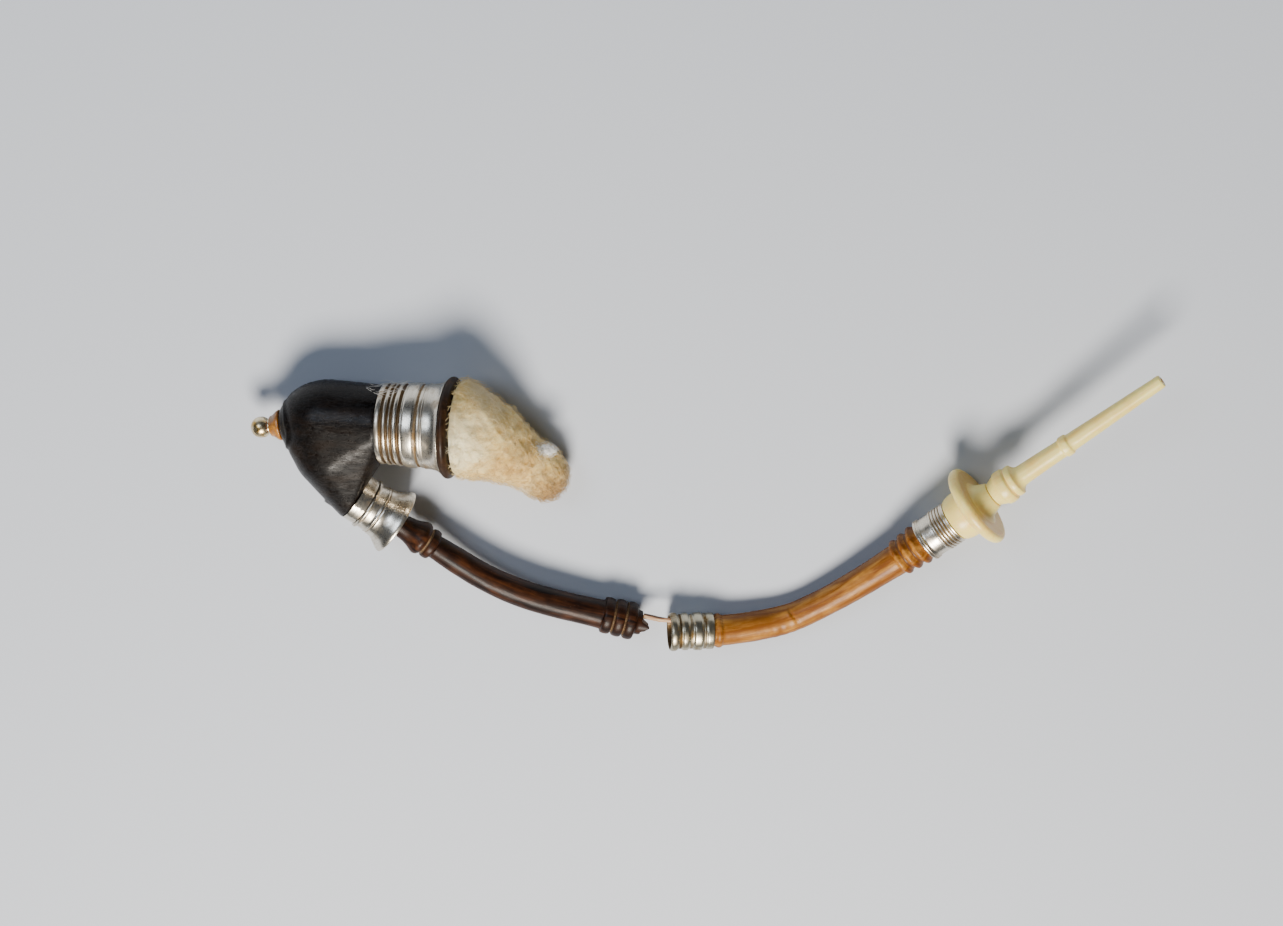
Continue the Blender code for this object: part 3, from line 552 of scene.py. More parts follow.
def reservoir():
    """The forked body: one skin over its balls and necks, then hollowed."""
    shape = bmesh.new()

    def ball(matrix, radius):
        made = bmesh.ops.create_uvsphere(shape, u_segments=72, v_segments=48, radius=radius)
        bmesh.ops.transform(shape, verts=made["verts"], matrix=matrix)

    def ring(base, station, radius):
        made = bmesh.ops.create_circle(shape, segments=72, radius=radius)
        lift = Matrix.Translation((0.0, 0.0, station))
        bmesh.ops.transform(shape, verts=made["verts"], matrix=base @ lift)

    ball(BOWL @ Matrix.Translation((0.0, 0.0, -7.0)) @ Matrix.Diagonal((1.0, 1.0, 1.27, 1.0)), 5.2)
    ball(Matrix.Translation(Vector((-47.8, 8.9, 5.2)) + SHIFT), 5.12)
    to_drain = DRAIN.inverted()
    proud = [corner for corner in shape.verts if (to_drain @ corner.co).z > -0.1]
    bmesh.ops.delete(shape, geom=proud, context="VERTS")
    ring(DRAIN, 0.0, 2.0)
    ring(DRAIN, -0.4, 2.5)
    ring(BOWL, -0.05, 4.95)
    ring(SOCKET, -0.05, 3.25)
    bmesh.ops.delete(shape, geom=shape.edges, context="EDGES_FACES")
    bmesh.ops.convex_hull(shape, input=shape.verts)
    inner = [corner for corner in shape.verts if not corner.link_faces]
    bmesh.ops.delete(shape, geom=inner, context="VERTS")
    for base, start, end, radius in ((BOWL, -3.0, 4.4, 4.75), (SOCKET, -3.0, 3.8, 2.8)):
        middle = base @ Matrix.Translation((0.0, 0.0, (start + end) / 2))
        bmesh.ops.create_cone(shape, cap_ends=True, segments=96, radius1=radius, radius2=radius,
                              depth=end - start, matrix=middle)
    bmesh.ops.recalc_face_normals(shape, faces=shape.faces)
    mesh = bpy.data.meshes.new("reservoir_skin")
    shape.to_mesh(mesh)
    shape.free()
    piece = bpy.data.objects.new("reservoir_skin", mesh)
    bpy.context.scene.collection.objects.link(piece)
    skin = piece.modifiers.new("skin", "REMESH")
    skin.mode = "VOXEL"
    skin.voxel_size = 0.16
    ease = piece.modifiers.new("ease", "SMOOTH")
    ease.factor = 0.5
    ease.iterations = 10
    hollows = []
    root = SOCKET @ Vector((0.0, 0.0, -1.2)) - SHIFT
    throat = stand(root, Vector((-47.8, 10.2, 5.5)) - root, UP)
    for name, base, run in (
            ("bowl_hollow", BOWL, ((-10.6, 0.0), (-9.8, 2.6), (-7.6, 3.7), (0.0, 3.85), (6.0, 3.85), (6.0, 0.0))),
            ("socket_hollow", SOCKET, ((-2.2, 0.0), (-2.2, 2.15), (5.0, 2.15), (5.0, 0.0))),
            ("throat", throat, ((0.0, 0.0), (0.0, 1.3), (6.9, 1.3), (6.9, 0.0))),
            ("drain_hollow", DRAIN, ((-6.0, 0.0), (-6.0, 0.83), (1.0, 0.83), (1.0, 0.0)))):
        cutter = sweep(name, straight(base), run, RESERVOIR, steps=48, soft=0, spacing=20.0)
        cutter.data.transform(Matrix.Scale(1.0 / MM, 4))
        hollow = piece.modifiers.new(name, "BOOLEAN")
        hollow.operation = "DIFFERENCE"
        hollow.solver = "MANIFOLD"
        hollow.object = cutter
        hollows.append(cutter)
    view = bpy.context.evaluated_depsgraph_get()
    baked = bpy.data.meshes.new_from_object(piece.evaluated_get(view))
    for item in (piece, *hollows):
        bpy.data.objects.remove(item, do_unlink=True)
    places = [corner.co.copy() for corner in baked.vertices]
    normals = [corner.normal.copy() for corner in baked.vertices]
    moved = []
    for place, normal in zip(places, normals):
        near = to_drain @ place
        away = math.hypot(near.x, near.y)
        if near.z < -0.25 and away > 1.9:
            lip = 0.10 * math.exp(-((away - 3.05) / 0.16) ** 2) * (1.0 if near.z > -2.5 else 0.0)
            dip = 0.05 * math.exp(-((away - 3.45) / 0.22) ** 2) * (1.0 if near.z > -3.0 else 0.0)
            place = place + normal * (lip - dip + 0.03 * fbm(place, 0.45, 2))
        moved += [place.x, place.y, place.z]
    baked.vertices.foreach_set("co", moved)
    baked.update()
    baked.transform(Matrix.Scale(MM, 4))
    baked.materials.clear()
    baked.materials.append(RESERVOIR)
    baked.shade_smooth()
    baked.set_sharp_from_angle(angle=math.radians(50.0))
    made = bpy.data.objects.new("horn_reservoir", baked)
    bpy.context.scene.collection.objects.link(made)
    return keep(made, "reservoir", "dark_horn", "reservoir_body")


def drain_screw():
    seal = [(0.06, 0.9), (0.06, 1.92), (0.3, 2.0), (0.6, 1.86), (0.95, 1.6), (1.25, 1.42), (1.5, 1.32), (1.52, 1.24)]
    lumps = uneven(0.10, 1.1, 4.0)

    def melted(station, radius, angle):
        if 0.2 < station < 1.4 and radius > 1.28:
            return lumps(station, radius, angle)
        return station, radius

    seat = [(0.06, 0.86), (1.02, 0.86), (1.04, 1.21), (1.52, 1.22)]
    piece = sweep("amber_fillet", straight(DRAIN), seal, AMBER, seat, 72, melted, 0.12)
    keep(piece, "drain_seal", "amber_resin", "finial_seal")
    ball = [(2.8 - 1.4 * math.cos(math.radians(angle)), 1.38 * math.sin(math.radians(angle)))
            for angle in range(40, 181, 7)]
    ball[-1] = (4.2, 0.0)
    shank = [(-2.6, 0.0), (-2.6, 0.6), (-2.45, 0.75), (1.08, 0.75), (1.08, 1.18), (1.25, 1.2), (1.4, 1.08)]
    piece = sweep("finial", straight(DRAIN), shank + ball, BRASS, (), 72, uneven(0.02, 0.8, 9.0), 0.2, 1)
    keep(piece, "drain_knob", "silvered_brass", "finial_knob")


# ---------------------------------------------------------------- bowl

def bowl():
    outside = [(0.0, 4.95), (0.0, 5.14), (0.1, 5.22), (0.58, 5.26), (0.68, 5.1), (0.74, 5.06), (0.98, 5.07)]
    outside += [(1.06, 5.2), (1.18, 5.34), (1.42, 5.34), (1.52, 5.2), (1.6, 5.1), (1.76, 5.1), (1.84, 5.26)]
    outside += [(1.96, 5.34), (2.04, 5.22), (2.1, 5.14), (2.34, 5.15), (2.44, 5.32), (2.6, 5.4), (2.84, 5.38)]
    outside += [(2.94, 5.22), (3.02, 5.14), (3.26, 5.16), (3.36, 5.36), (3.5, 5.44), (3.58, 5.38), (3.66, 5.48)]
    outside += [(4.3, 5.53), (5.0, 5.53), (5.1, 5.4), (5.18, 5.3), (5.46, 5.31), (5.58, 5.42), (5.86, 5.44)]
    outside += [(5.94, 5.36), (6.0, 5.48), (6.12, 5.56), (6.24, 5.46), (6.36, 5.5), (7.0, 5.56), (7.6, 5.7)]
    outside += [(8.0, 5.9), (8.25, 6.12), (8.35, 6.16), (8.35, 6.0)]
    inside = [(0.0, 4.83), (7.2, 4.83), (7.5, 5.1), (8.35, 5.1)]
    piece = sweep("bowl_mount", straight(BOWL), outside, SILVER, inside, 128, uneven(0.035, 0.5, 1.0), 0.4, 1)
    keep(piece, "reservoir", "silver", "bowl_collar")
    start = 4.48
    face = 8.43
    end = 9.63
    rim = [(start, 4.1), (start, 4.75), (face, 4.75), (face, 6.2), (face + 0.12, 6.42), (face + 0.35, 6.57)]
    rim += [(face + 0.6, 6.6), (face + 0.85, 6.5), (face + 1.08, 6.25), (end, 5.9), (end, 5.2)]
    bore = [(start, 4.05), (end - 0.5, 4.05), (end, 4.65)]
    piece = sweep("horn_rim", straight(BOWL), rim, RIM, bore, 128, uneven(0.04, 0.6, 2.0), 0.4, 1)
    keep(piece, "reservoir", "dark_horn", "bowl_rim")


def cotton_rings():
    """Centre, direction and radius of the wad's rings, as in the CAD solid."""
    axis = heading(-1.0, 8.5)
    start = Vector((-41.0, 13.0, 6.16))
    mouth = 9.63
    plug = ((2.6, 0.6), (2.6, 2.4), (3.0, 3.4), (3.6, 3.75), (mouth - 0.6, 3.75), (mouth + 0.06, 4.15),
            (mouth + 0.16, 5.2), (mouth + 0.3, 5.85), (mouth + 0.7, 6.05), (mouth + 1.5, 6.1))
    rings = [(start + axis * station, axis, radius) for station, radius in plug]
    slump = (
        (-28.7, 12.0, 7.30, -8.0, 3.0, 5.85), (-27.8, 11.1, 6.70, -20.0, -6.0, 5.35),
        (-26.7, 10.1, 6.00, -30.0, -13.0, 4.80), (-25.3, 8.9, 5.20, -34.0, -16.0, 4.25),
        (-23.7, 7.8, 4.45, -36.0, -16.0, 3.75), (-22.2, 6.5, 3.85, -42.0, -15.0, 3.45),
        (-20.8, 5.1, 3.40, -48.0, -12.0, 3.20), (-19.7, 3.9, 3.10, -50.0, -10.0, 2.75),
        (-19.1, 3.0, 2.85, -50.0, -8.0, 2.05), (-18.7, 2.5, 2.70, -50.0, -8.0, 0.9),
    )
    rings += [(Vector(ring[:3]), heading(ring[3], ring[4]), ring[5]) for ring in slump]
    return [(centre + SHIFT, direction, radius) for centre, direction, radius in rings]


def catmull(a, b, c, d, share):
    """A smooth step from b to c."""
    return 0.5 * (2 * b + (c - a) * share + (2 * a - 5 * b + 4 * c - d) * share ** 2
                  + (3 * b - a - 3 * c + d) * share ** 3)


def cotton_wad():
    rings = cotton_rings()
    plug_rings = 8
    steps = 150
    rows = []
    for index in range(len(rings) - 1):
        run = [rings[max(0, min(len(rings) - 1, index + shift))] for shift in (-1, 0, 1, 2)]
        pieces = 3 if index < plug_rings else 7
        for part in range(pieces):
            share = part / pieces
            if index < plug_rings:
                centre, direction = (run[1][slot].lerp(run[2][slot], share) for slot in (0, 1))
                radius = run[1][2] + (run[2][2] - run[1][2]) * share
            else:
                centre, direction, radius = (catmull(*(ring[slot] for ring in run), share) for slot in (0, 1, 2))
            rows.append((centre, direction.normalized(), radius))
    rows.append(rings[-1])
    points = []
    loose = []
    for centre, direction, radius in rows:
        turn = direction.to_track_quat("Z", "Y").to_matrix()
        out_of_bowl = (BOWL.inverted() @ centre).z - 9.9
        free = max(0.0, min(1.0, out_of_bowl / 0.9))
        for index in range(steps):
            angle = math.tau * index / steps
            side = turn @ Vector((math.cos(angle), math.sin(angle), 0.0))
            spot = centre + side * radius
            lump = 0.36 * fbm(spot, 0.32, 2) + 0.20 * fbm(spot, 1.1, 2) + 0.08 * fbm(spot, 3.4, 2)
            spot = spot + side * lump * free
            spot.z = max(spot.z, 0.06)
            points.append(spot)
            loose.append((spot, side, free))
    faces = []
    for row in range(len(rows) - 1):
        for index in range(steps):
            after = (index + 1) % steps
            faces.append((row * steps + index, row * steps + after,
                          (row + 1) * steps + after, (row + 1) * steps + index))
    points += [rows[0][0], rows[-1][0] + rows[-1][1] * 0.25]
    back = len(points) - 2
    last = (len(rows) - 1) * steps
    for index in range(steps):
        after = (index + 1) % steps
        faces.append((back, after, index))
        faces.append((back + 1, last + index, last + after))
    piece = write_mesh("cotton", points, faces, COTTON)
    keep(piece, "cotton", "stained_cotton", "cotton_wad")
    return [item for item in loose if item[2] > 0.15]


def fibres(name, paths, thickness, finish):
    """Thin three-sided tubes through short runs of points, as one mesh."""
    points = []
    faces = []
    for path in paths:
        first = len(points)
        for index, spot in enumerate(path):
            ahead = path[min(index + 1, len(path) - 1)] - path[max(index - 1, 0)]
            turn = ahead.to_track_quat("Z", "Y").to_matrix()
            width = thickness * (0.45 if index in (0, len(path) - 1) else 1.0)
            for corner in range(3):
                angle = math.tau * corner / 3
                points.append(spot + turn @ Vector((math.cos(angle), math.sin(angle), 0.0)) * width)
        for index in range(len(path) - 1):
            low = first + index * 3
            for corner in range(3):
                after = (corner + 1) % 3
                faces.append((low + corner, low + after, low + 3 + after, low + 3 + corner))
        faces.append((first, first + 2, first + 1))
        end = first + (len(path) - 1) * 3
        faces.append((end, end + 1, end + 2))
    return write_mesh(name, points, faces, finish)


def fluff(loose, count, draw, lift):
    """Curved fibres that lie on the wad and lift a little off it."""
    paths = []
    for _ in range(count):
        spot, side, free = draw.choice(loose)
        flow = Vector((draw.uniform(-1, 1), draw.uniform(-1, 1), draw.uniform(-1, 1)))
        flow = (flow - side * flow.dot(side)).normalized()
        twist = side.cross(flow)
        length = draw.uniform(0.5, 1.9)
        rise = draw.uniform(0.0, lift)
        curl = draw.uniform(-1.0, 1.0)
        path = []
        for index in range(6):
            share = index / 5
            away = side * (rise * math.sin(math.pi * (0.15 + 0.75 * share)) - 0.03)
            sideways = twist * curl * length * 0.35 * math.sin(math.pi * share * 0.9)
            point = spot + flow * length * (share - 0.5) + sideways + away
            point.z = max(point.z, 0.03)
            path.append(point)
        paths.append(path)
    return paths


def tuft():
    """Two bright lumps of clean cotton on the upper side of the wad's tip."""
    shape = bmesh.new()
    for centre, size in (((-21.7, 9.0, 6.0), (1.15, 0.85, 0.85)), ((-19.95, 9.1, 5.6), (1.0, 0.62, 0.7))):
        place = Matrix.Translation(Vector(centre) + SHIFT) @ Matrix.Diagonal((*size, 1.0))
        bmesh.ops.create_icosphere(shape, subdivisions=5, radius=1.0, matrix=place)
    points = [corner.co.copy() for corner in shape.verts]
    bmesh.ops.recalc_face_normals(shape, faces=shape.faces)
    shape.normal_update()
    for corner, spot in zip(shape.verts, points):
        corner.co = spot + corner.normal * (0.22 * fbm(spot, 1.6, 3) + 0.07 * fbm(spot, 6.0, 2))
    bmesh.ops.scale(shape, verts=shape.verts, vec=(MM, MM, MM))
    mesh = bpy.data.meshes.new("cotton_tuft")
    shape.to_mesh(mesh)
    shape.free()
    mesh.materials.append(WHITE_COTTON)
    mesh.shade_smooth()
    piece = bpy.data.objects.new("cotton_tuft", mesh)
    bpy.context.scene.collection.objects.link(piece)
    keep(piece, "cotton", "stained_cotton")
    return [(spot, Vector((0.0, 0.0, 1.0)), 1.0) for spot in points]


def cotton():
    draw = random.Random(11)
    loose = cotton_wad()
    piece = fibres("cotton_fibres", fluff(loose, 3600, draw, 0.55), 0.022, COTTON)
    keep(piece, "cotton", "stained_cotton")
    white = tuft()
    piece = fibres("tuft_fibres", fluff(white, 260, draw, 0.6), 0.022, WHITE_COTTON)
    keep(piece, "cotton", "stained_cotton")


# ---------------------------------------------------------------- stem socket

def band():
    """A strip of sheet silver bent round the neck. Its free end overlaps and stands off."""
    turns = 372.0
    free_end = 84.0
    across = 12
    along = 200
    points = []
    local = []
    for skin in (0, 1):
        for row in range(across + 1):
            station = 0.05 + 1.55 * row / across
            jag = 9.0 * fbm(Vector((station * 1.7, 3.1, 0.0)), 1.0, 3)
            for column in range(along + 1):
                share = column / along
                angle = math.radians(free_end - (turns - jag) * (1.0 - share) + jag)
                lifted = 0.16 * max(0.0, (share - 0.93) / 0.07) ** 1.5
                radius = 3.06 + 0.20 * share + lifted + 0.02 * fbm(Vector((angle * 2, station, 0)), 1.0, 2)
                radius += -0.09 if skin else 0.07
                spot = Vector((radius * math.cos(angle), radius * math.sin(angle), station))
                points.append(SOCKET @ spot)
                local.append(tuple(spot))
    size = (across + 1) * (along + 1)
    faces = []

    def corner(skin, row, column):
        return skin * size + row * (along + 1) + column

    for row in range(across):
        for column in range(along):
            for skin in (0, 1):
                faces.append((corner(skin, row, column), corner(skin, row, column + 1),
                              corner(skin, row + 1, column + 1), corner(skin, row + 1, column)))
    for column in range(along):
        for row in (0, across):
            faces.append((corner(0, row, column), corner(0, row, column + 1),
                          corner(1, row, column + 1), corner(1, row, column)))
    for row in range(across):
        for column in (0, along):
            faces.append((corner(0, row, column), corner(0, row + 1, column),
                          corner(1, row + 1, column), corner(1, row, column)))
    shade = [0.0] * len(points)
    piece = write_mesh("neck_band", points, faces, SILVER, [("groove", shade)], [("local", local)])
    piece.data.set_sharp_from_angle(angle=math.radians(40.0))
    keep(piece, "reservoir", "silver", "stem_band")


def socket():
    band()
    outside = [(1.68, 3.2), (1.72, 3.34), (1.82, 3.44), (2.0, 3.47), (2.1, 3.4), (2.2, 3.22), (2.35, 3.17)]
    outside += [(3.2, 3.2), (3.3, 3.3), (3.4, 3.37), (3.5, 3.3), (3.58, 3.26), (3.66, 3.3), (3.76, 3.37)]
    outside += [(3.86, 3.36), (4.3, 3.42), (4.7, 3.55), (5.2, 3.84), (5.7, 4.18), (6.1, 4.42), (6.4, 4.49)]
    outside += [(6.56, 4.46), (6.6, 4.36)]
    inside = [(1.68, 2.88), (3.9, 2.88), (4.4, 3.1), (5.0, 3.37), (5.55, 3.73), (6.0, 4.0), (6.6, 4.2)]
    piece = sweep("neck_collar", straight(SOCKET), outside, SILVER, inside, 112, uneven(0.03, 0.6, 5.0), 0.3, 1)
    keep(piece, "reservoir", "silver", "stem_collar")
    sleeve = [(0.4, 2.0), (0.7, 2.07), (4.6, 2.07), (4.9, 1.95)]
    piece = sweep("cork_sleeve", straight(SOCKET), sleeve, CORK, [(0.4, 1.63), (4.9, 1.63)], 64,
                  uneven(0.04, 1.0, 6.0), 0.4, 1)
    keep(piece, "stem_cork", "cork", "stem_cork")


# ---------------------------------------------------------------- stems

def between(run, place):
    """The height of a run of (place, height) points at one place."""
    for (left, low), (right, high) in zip(run, run[1:]):
        if place <= right:
            share = max(0.0, (place - left) / (right - left))
            return low + (high - low) * share
    return run[-1][1]


def lower_stem():
    start = 41.9
    end = 44.4
    across = ((-2.6, -0.1), (-1.3, 0.0), (-0.9, 0.2), (-0.6, 0.1), (-0.3, 0.75), (0.3, 1.2),
              (0.6, 0.8), (0.85, 0.1), (1.05, -0.05), (1.25, 0.1), (2.6, -0.2))
    below = ((-2.6, 0.05), (-1.1, 0.15), (-0.6, -0.05), (0.1, 0.1), (0.55, 0.9), (2.6, 1.6))
    worn = uneven(0.035, 0.5, 3.0)

    def torn(station, radius, angle):
        station, reach = worn(station, radius, angle) if radius > 0.8 else (station, radius)
        if station <= start:
            return station, reach
        x = radius * math.cos(angle)
        y = radius * math.sin(angle)
        limit = 42.6 + min(between(across, x), between(below, y))
        limit += 0.07 * fbm(Vector((x, y, 0.0)), 3.0, 3)
        return start + (station - start) / (end - start) * (limit - start), reach

    profile = [(-0.4, 0.6), (-0.4, 1.4), (-0.2, 1.53), (0.2, 1.55), (7.2, 1.55), (8.4, 1.65), (9.2, 1.85)]
    profile += [(9.8, 2.1), (10.1, 2.24), (10.4, 2.3), (10.65, 2.27), (10.95, 2.1), (11.2, 1.75)]
    profile += bead(11.35, 12.5, 1.78, 2.08)
    profile += [(12.6, 1.62), (12.75, 1.58), (14.3, 1.7), (21.0, 1.8), (28.0, 1.88), (35.8, 1.9), (37.0, 1.97)]
    for index in range(3):
        crest = (2.5, 2.56, 2.56)[index]
        left = 37.35 + 1.55 * index
        profile += [(left - 0.05, 2.02)] + bead(left, left + 1.4, 2.1, crest, 9)
    profile += [(41.95, 1.9), (42.05, 1.7), (42.6, 1.66), (43.2, 1.65), (43.8, 1.64), (44.2, 1.63), (end, 1.62)]
    profile += [(end, 1.62 - 0.12 * step) for step in range(1, 9)]
    bore = [(-0.4, 0.55), (41.0, 0.55), (43.0, 0.55), (end, 0.56)]
    piece = sweep("dark_stem", lower, profile, DARK_STEM, bore, 120, torn, 0.35, 1)
    keep(piece, "lower_stem", "dark_brown_horn", "lower_stem")


def splinter():
    """A flat torn strip with a fibrous surface."""
    first = lower(42.6) @ Vector((1.28, 0.25, 0.14))
    last = UPPER @ Vector((1.78, -0.2, 0.8))
    middle = first.lerp(last, 0.5) + Vector((0.0, -0.05, 0.15))
    knots = [first, first.lerp(middle, 0.5), middle, middle.lerp(last, 0.6), last]
    knots = [knots[0] * 2 - knots[1]] + knots + [knots[-1] * 2 - knots[-2]]
    sizes = (0.30, 0.36, 0.38, 0.34, 0.30, 0.20, 0.16)
    steps = 20
    rows = []
    for index in range(1, len(knots) - 2):
        for part in range(10):
            share = part / 10
            run = knots[index - 1:index + 3]
            size = sizes[index] + (sizes[index + 1] - sizes[index]) * share
            rows.append((catmull(*run, share), size))
    rows.append((last, sizes[-2]))
    along = (last - first).normalized()
    side = UP.cross(along).normalized()
    top = along.cross(side)
    points = []
    skin = []
    local = []
    for place, (centre, size) in enumerate(rows):
        share = place / (len(rows) - 1)
        for index in range(steps):
            angle = math.tau * index / steps
            ridge = 1.0 + 0.16 * noise.noise(Vector((angle * 2.2, share * 2.0, 1.0)))
            ridge += 0.10 * noise.noise(Vector((angle * 5.0, share * 9.0, 4.0)))
            away = side * math.cos(angle) * size * 1.02 + top * math.sin(angle) * size * 0.8
            points.append(centre + away * ridge)
            local.append((math.cos(angle) * size, math.sin(angle) * size, share * 4.4))
            skin.append(max(0.0, math.cos(angle)) * (1.0 if share < 0.55 else max(0.0, 1.0 - (share - 0.55) * 6)))
    faces = []
    for row in range(len(rows) - 1):
        for index in range(steps):
            after = (index + 1) % steps
            faces.append((row * steps + index, row * steps + after,
                          (row + 1) * steps + after, (row + 1) * steps + index))
    faces.append(tuple(range(steps)))
    faces.append(tuple(range(len(points) - steps, len(points))))
    piece = write_mesh("horn_splinter", points, faces, TORN, [("groove", skin)], [("local", local)])
    keep(piece, "lower_stem", "raw_horn_splinter", "splinter")


def mid_ferrule():
    outside = [(0.0, 2.3), (0.0, 2.42), (0.08, 2.5), (0.3, 2.6), (0.75, 2.6), (0.98, 2.48), (1.08, 2.36)]
    outside += [(1.16, 2.33), (1.48, 2.33), (1.6, 2.38)] + bead(1.66, 2.44, 2.42, 2.54, 7)
    outside += [(2.52, 2.37), (2.6, 2.33), (3.06, 2.33), (3.16, 2.4), (3.24, 2.5), (3.4, 2.55), (4.1, 2.58)]
    outside += [(4.26, 2.54), (4.36, 2.42), (4.44, 2.36), (4.54, 2.35), (4.6, 2.4), (4.68, 2.4), (4.74, 2.35)]
    outside += [(4.9, 2.38), (5.0, 2.46), (5.3, 2.47), (5.75, 2.46), (5.85, 2.42)]
    inside = [(0.0, 2.28), (0.5, 2.18), (1.0, 2.1), (5.85, 2.1)]
    piece = sweep("joint_ferrule", straight(UPPER), outside, PEWTER, inside, 96, uneven(0.03, 0.8, 7.0), 0.3, 1)
    keep(piece, "upper_stem", "stained_pewter", "mid_ferrule")
    teeth = ((-2.4, 1.5), (-1.1, 1.75), (-0.7, 1.5), (-0.2, 2.0), (0.3, 1.6), (0.9, 2.1), (2.4, 1.9))

    def snapped(station, radius, angle):
        if station >= 2.3:
            return station, radius
        x = radius * math.cos(angle)
        low = between(teeth, x) + 0.06 * fbm(Vector((x, radius * math.sin(angle), 0.0)), 3.0, 3)
        return low + (station - 1.35) / 0.95 * (2.3 - low), radius

    stump = [(1.35, 0.56 + 0.12 * step) for step in range(9)]
    stump += [(1.36, 1.58), (1.6, 1.6), (2.3, 1.62), (2.6, 1.62), (3.0, 1.55)]
    bore = [(1.35, 0.55), (3.0, 0.55)]
    piece = sweep("snapped_tenon", straight(UPPER), stump, DARK_STEM, bore, 72, snapped, 0.25, 0)
    keep(piece, "upper_stem", "dark_brown_horn", "tenon_stump")
    wound("ferrule_thread", UPPER, 3.3, 5.6, 1.92, 1.8, THREAD, "upper_stem", "ferrule_lapping")


def wound(name, base, start, end, radius, inner, finish, body, node):
    """Thread laid side by side in turns, as fine rings."""
    turns = 9
    pitch = (end - start) / turns
    outside = [(start, radius)]
    for index in range(turns):
        left = start + pitch * index
        outside += [(left + pitch * 0.1, radius), (left + pitch * 0.5, radius + 0.1), (left + pitch * 0.9, radius)]
    outside.append((end, radius))
    piece = sweep(name, straight(base), outside, finish, [(start, inner), (end, inner)], 72, None, 0.2, 1)
    keep(piece, body, "waxed_thread", node)


def upper_stem():
    worn = uneven(0.04, 0.45, 8.0)

    def aged(station, radius, angle):
        station, reach = worn(station, radius, angle)
        if radius < 1.5 or not 8.0 < station < 33.0:
            return station, reach
        off = angle - math.radians(40.0)
        turn = math.degrees(math.atan2(math.sin(off), math.cos(off)))
        # a short crack across the bend
        bent = station - 17.25 - 0.25 * math.sin(math.radians(turn * 3.0))
        reach -= 0.17 * math.exp(-(bent / 0.16) ** 2) * math.exp(-(turn / 34.0) ** 4)
        reach += 0.05 * math.exp(-((bent + 0.42) / 0.22) ** 2) * math.exp(-(turn / 40.0) ** 4)
        # shallow wrinkles on the near side of the bend
        lower_side = math.exp(-((turn - 62.0) / 40.0) ** 2) * math.exp(-((station - 15.6) / 2.4) ** 2)
        reach += 0.035 * math.sin(station * 5.2 + math.radians(turn) * 2.0) * lower_side
        return station, reach

    outside = [(3.2, 0.6), (3.2, 1.72), (5.93, 1.72), (5.93, 1.95), (5.96, 2.06), (6.15, 2.1), (6.3, 2.22)]
    outside += [(6.5, 2.32), (6.75, 2.33), (6.95, 2.24), (7.1, 2.09), (7.4, 2.05), (15.0, 2.0), (20.0, 1.87)]
    outside += [(24.0, 1.9), (30.0, 2.0), (33.1, 2.08), (33.45, 2.1)]
    for index in range(3):
        crest = (2.54, 2.66, 2.80)[index]
        low = 2.12 + 0.08 * index
        left = 33.6 + 1.45 * index
        outside += [(left, low), (left + 0.14, low + 0.12), (left + 0.26, crest - 0.1), (left + 0.4, crest)]
        outside += [(left + 0.62, crest), (left + 0.78, crest - 0.1), (left + 0.95, crest - 0.26)]
        outside += [(left + 1.25, low + 0.05)]
    outside += [(37.96, 2.3), (38.0, 2.2), (40.4, 2.2), (40.4, 0.6)]
    piece = sweep("light_stem", upper, outside, LIGHT_STEM, [(3.2, 0.55), (40.4, 0.55)], 120, aged, 0.22, 1)
    keep(piece, "upper_stem", "golden_brown_horn", "upper_stem")


# ---------------------------------------------------------------- mouthpiece

def upper_ferrule():
    start = 38.08
    outside = [(start, 2.4), (start, 2.78), (start + 0.06, 2.9), (start + 0.2, 2.97), (start + 0.34, 2.92)]
    outside += [(start + 0.42, 2.84), (start + 0.5, 2.92), (start + 0.6, 2.93), (start + 0.7, 2.82)]
    outside += [(start + 0.8, 2.74), (start + 1.6, 2.78), (start + 2.3, 2.8)]
    for index in range(5):
        left = start + 2.36 + 0.45 * index
        outside += [(left, 2.79), (left + 0.08, 2.88), (left + 0.2, 2.93), (left + 0.32, 2.9), (left + 0.4, 2.8)]
    outside += [(42.78, 2.82), (42.85, 2.8), (42.85, 2.4)]
    piece = sweep("nozzle_ferrule", straight(NOZZLE), outside, SILVER, [(start, 2.28), (42.85, 2.28)], 112,
                  uneven(0.025, 0.7, 10.0), 0.25, 1)
    keep(piece, "upper_stem", "silver", "upper_ferrule")
    wound("nozzle_thread", NOZZLE, 40.75, 42.6, 2.08, 1.68, THREAD, "mouthpiece_lapping", "mouthpiece_lapping")


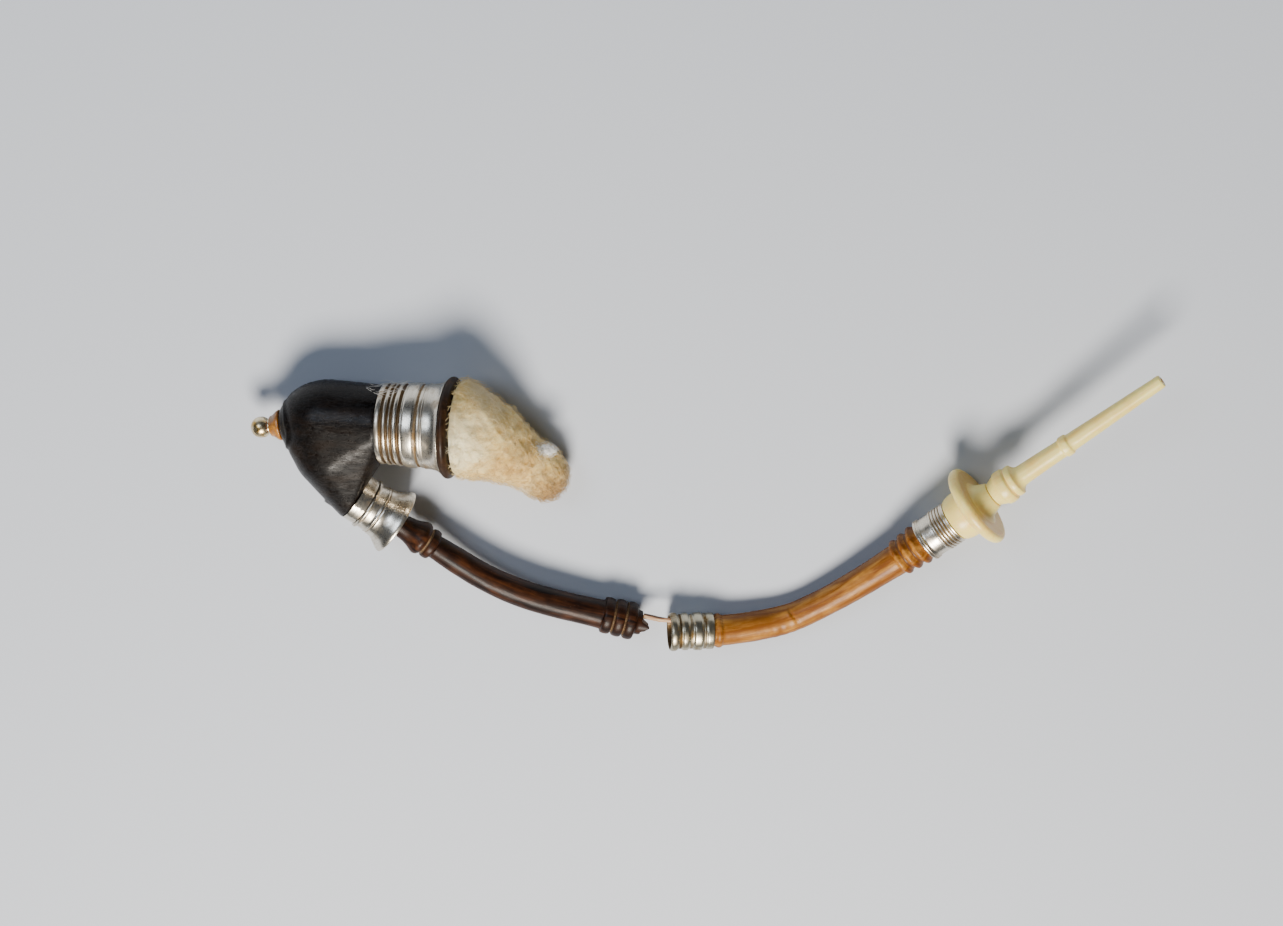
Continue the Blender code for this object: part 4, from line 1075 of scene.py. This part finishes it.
def mouthpiece():
    outside = [(40.6, 0.6), (40.6, 1.55), (40.7, 1.6), (42.92, 1.6), (42.93, 2.7), (43.0, 2.86), (43.3, 3.02)]
    outside += [(43.9, 3.18), (44.5, 3.23), (44.95, 3.2), (45.1, 3.18), (45.2, 3.3), (45.36, 3.75), (45.55, 4.5)]
    outside += [(45.75, 5.1), (46.0, 5.42), (46.3, 5.58), (46.6, 5.6), (46.85, 5.55), (47.08, 5.4), (47.2, 5.2)]
    outside += [(47.24, 5.0), (47.2, 4.4), (47.16, 3.7), (47.18, 3.3), (47.3, 2.9), (47.6, 2.5), (48.0, 2.25)]
    outside += [(48.6, 2.0), (49.1, 1.78), (49.17, 1.7), (49.17, 1.1)]
    inside = [(40.6, 0.55), (46.4, 0.55), (46.5, 1.02), (49.17, 1.02)]
    piece = sweep("bone_guard", straight(NOZZLE), outside, BONE, inside, 144, uneven(0.03, 0.4, 11.0), 0.3, 1)
    keep(piece, "mouthpiece", "bone", "mouthpiece_base")
    left = 49.25
    outside = [(46.7, 0.55), (46.7, 0.94), (left, 0.94), (left, 1.6), (left + 0.08, 1.68), (left + 0.35, 1.74)]
    outside += [(left + 0.95, 2.02)] + bead(left + 1.2, left + 2.65, 2.1, 2.36, 9)
    outside += bead(left + 2.85, left + 3.75, 1.95, 2.16)
    outside += [(left + 4.0, 1.6), (left + 4.3, 1.42), (left + 4.6, 1.34), (left + 7.5, 1.27), (left + 10.7, 1.2)]
    outside += [(left + 10.95, 1.24)] + bead(left + 11.0, left + 12.1, 1.3, 1.44, 7)
    outside += [(left + 12.25, 1.2), (left + 12.6, 1.17), (left + 18.0, 1.06), (left + 22.5, 0.95), (75.3, 0.9)]
    outside += [(75.5, 0.86), (75.6, 0.76), (75.6, 0.5)]
    inside = [(46.7, 0.5), (71.6, 0.45), (75.6, 0.38)]
    piece = sweep("bone_nozzle", straight(NOZZLE), outside, BONE, inside, 80, uneven(0.025, 0.5, 12.0), 0.3, 1)
    keep(piece, "mouthpiece", "bone", "nozzle")


# ---------------------------------------------------------------- fuzz

def fuzz():
    """White fibres caught between the reservoir and its silver mount."""
    draw = random.Random(5)
    paths = []
    for _ in range(26):
        angle = math.radians(draw.uniform(-105.0, -62.0))
        radius = draw.uniform(5.3, 5.6)
        station = draw.uniform(-1.8, 2.4)
        path = []
        bend = draw.uniform(-1.0, 1.0)
        length = draw.uniform(0.8, 2.2)
        for index in range(7):
            share = index / 6
            turn = angle + bend * 0.16 * share ** 2
            reach = radius + 0.25 * math.sin(share * 5.0 + bend * 3.0) * share
            spot = Vector((reach * math.cos(turn), reach * math.sin(turn), station + length * share))
            path.append(BOWL @ spot)
        paths.append(path)
    piece = fibres("mount_fuzz", paths, 0.018, WHITE_COTTON)
    keep(piece, "reservoir", "stained_cotton")


# ---------------------------------------------------------------- floor, light and camera

def plain(name, colour, roughness):
    return Finish(name, Base_Color=(*colour, 1.0), Roughness=roughness).material


def floor():
    mesh = bpy.data.meshes.new("table")
    half = 1.5
    corners = [(-half, -half, 0.0), (half, -half, 0.0), (half, half, 0.0), (-half, half, 0.0)]
    mesh.from_pydata(corners, [], [(0, 1, 2, 3)])
    mesh.materials.append(plain("pale_table", (0.54, 0.58, 0.65), 0.75))
    piece = bpy.data.objects.new("table", mesh)
    bpy.context.scene.collection.objects.link(piece)


def lamp(name, direction, distance, size, power, colour, target=(0.0, 0.0, 0.005)):
    light = bpy.data.lights.new(name, "AREA")
    light.shape = "DISK"
    light.size = size
    light.energy = power
    light.color = colour
    piece = bpy.data.objects.new(name, light)
    bpy.context.scene.collection.objects.link(piece)
    back = Vector(direction).normalized()
    piece.location = Vector(target) + back * distance
    piece.rotation_euler = back.to_track_quat("Z", "Y").to_euler()


def lights():
    world = bpy.context.scene.world or bpy.data.worlds.new("studio")
    bpy.context.scene.world = world
    world.use_nodes = True
    background = world.node_tree.nodes["Background"]
    background.inputs["Color"].default_value = (0.80, 0.88, 1.0, 1.0)
    background.inputs["Strength"].default_value = 0.06
    lamp("key", (-0.08, -0.55, 0.84), 0.42, 0.20, 4.2, (1.0, 0.93, 0.83))
    lamp("fill", (-0.5, 0.45, 0.74), 0.6, 0.30, 1.2, (0.74, 0.84, 1.0))


def camera():
    lens = bpy.data.cameras.new("camera")
    lens.sensor_width = 36.0
    lens.lens = 64.54
    lens.clip_start = 0.01
    piece = bpy.data.objects.new("camera", lens)
    bpy.context.scene.collection.objects.link(piece)
    tilt = math.radians(20.4)
    target = Vector((-0.007857, 0.005176, 0.0))
    distance = 0.305
    piece.location = target + Vector((0.0, math.sin(tilt), math.cos(tilt))) * distance
    piece.rotation_euler = (-tilt, 0.0, 0.0)
    bpy.context.scene.camera = piece


reservoir()
drain_screw()
bowl()
cotton()
socket()
lower_stem()
splinter()
mid_ferrule()
upper_stem()
upper_ferrule()
mouthpiece()
fuzz()
floor()
lights()
camera()
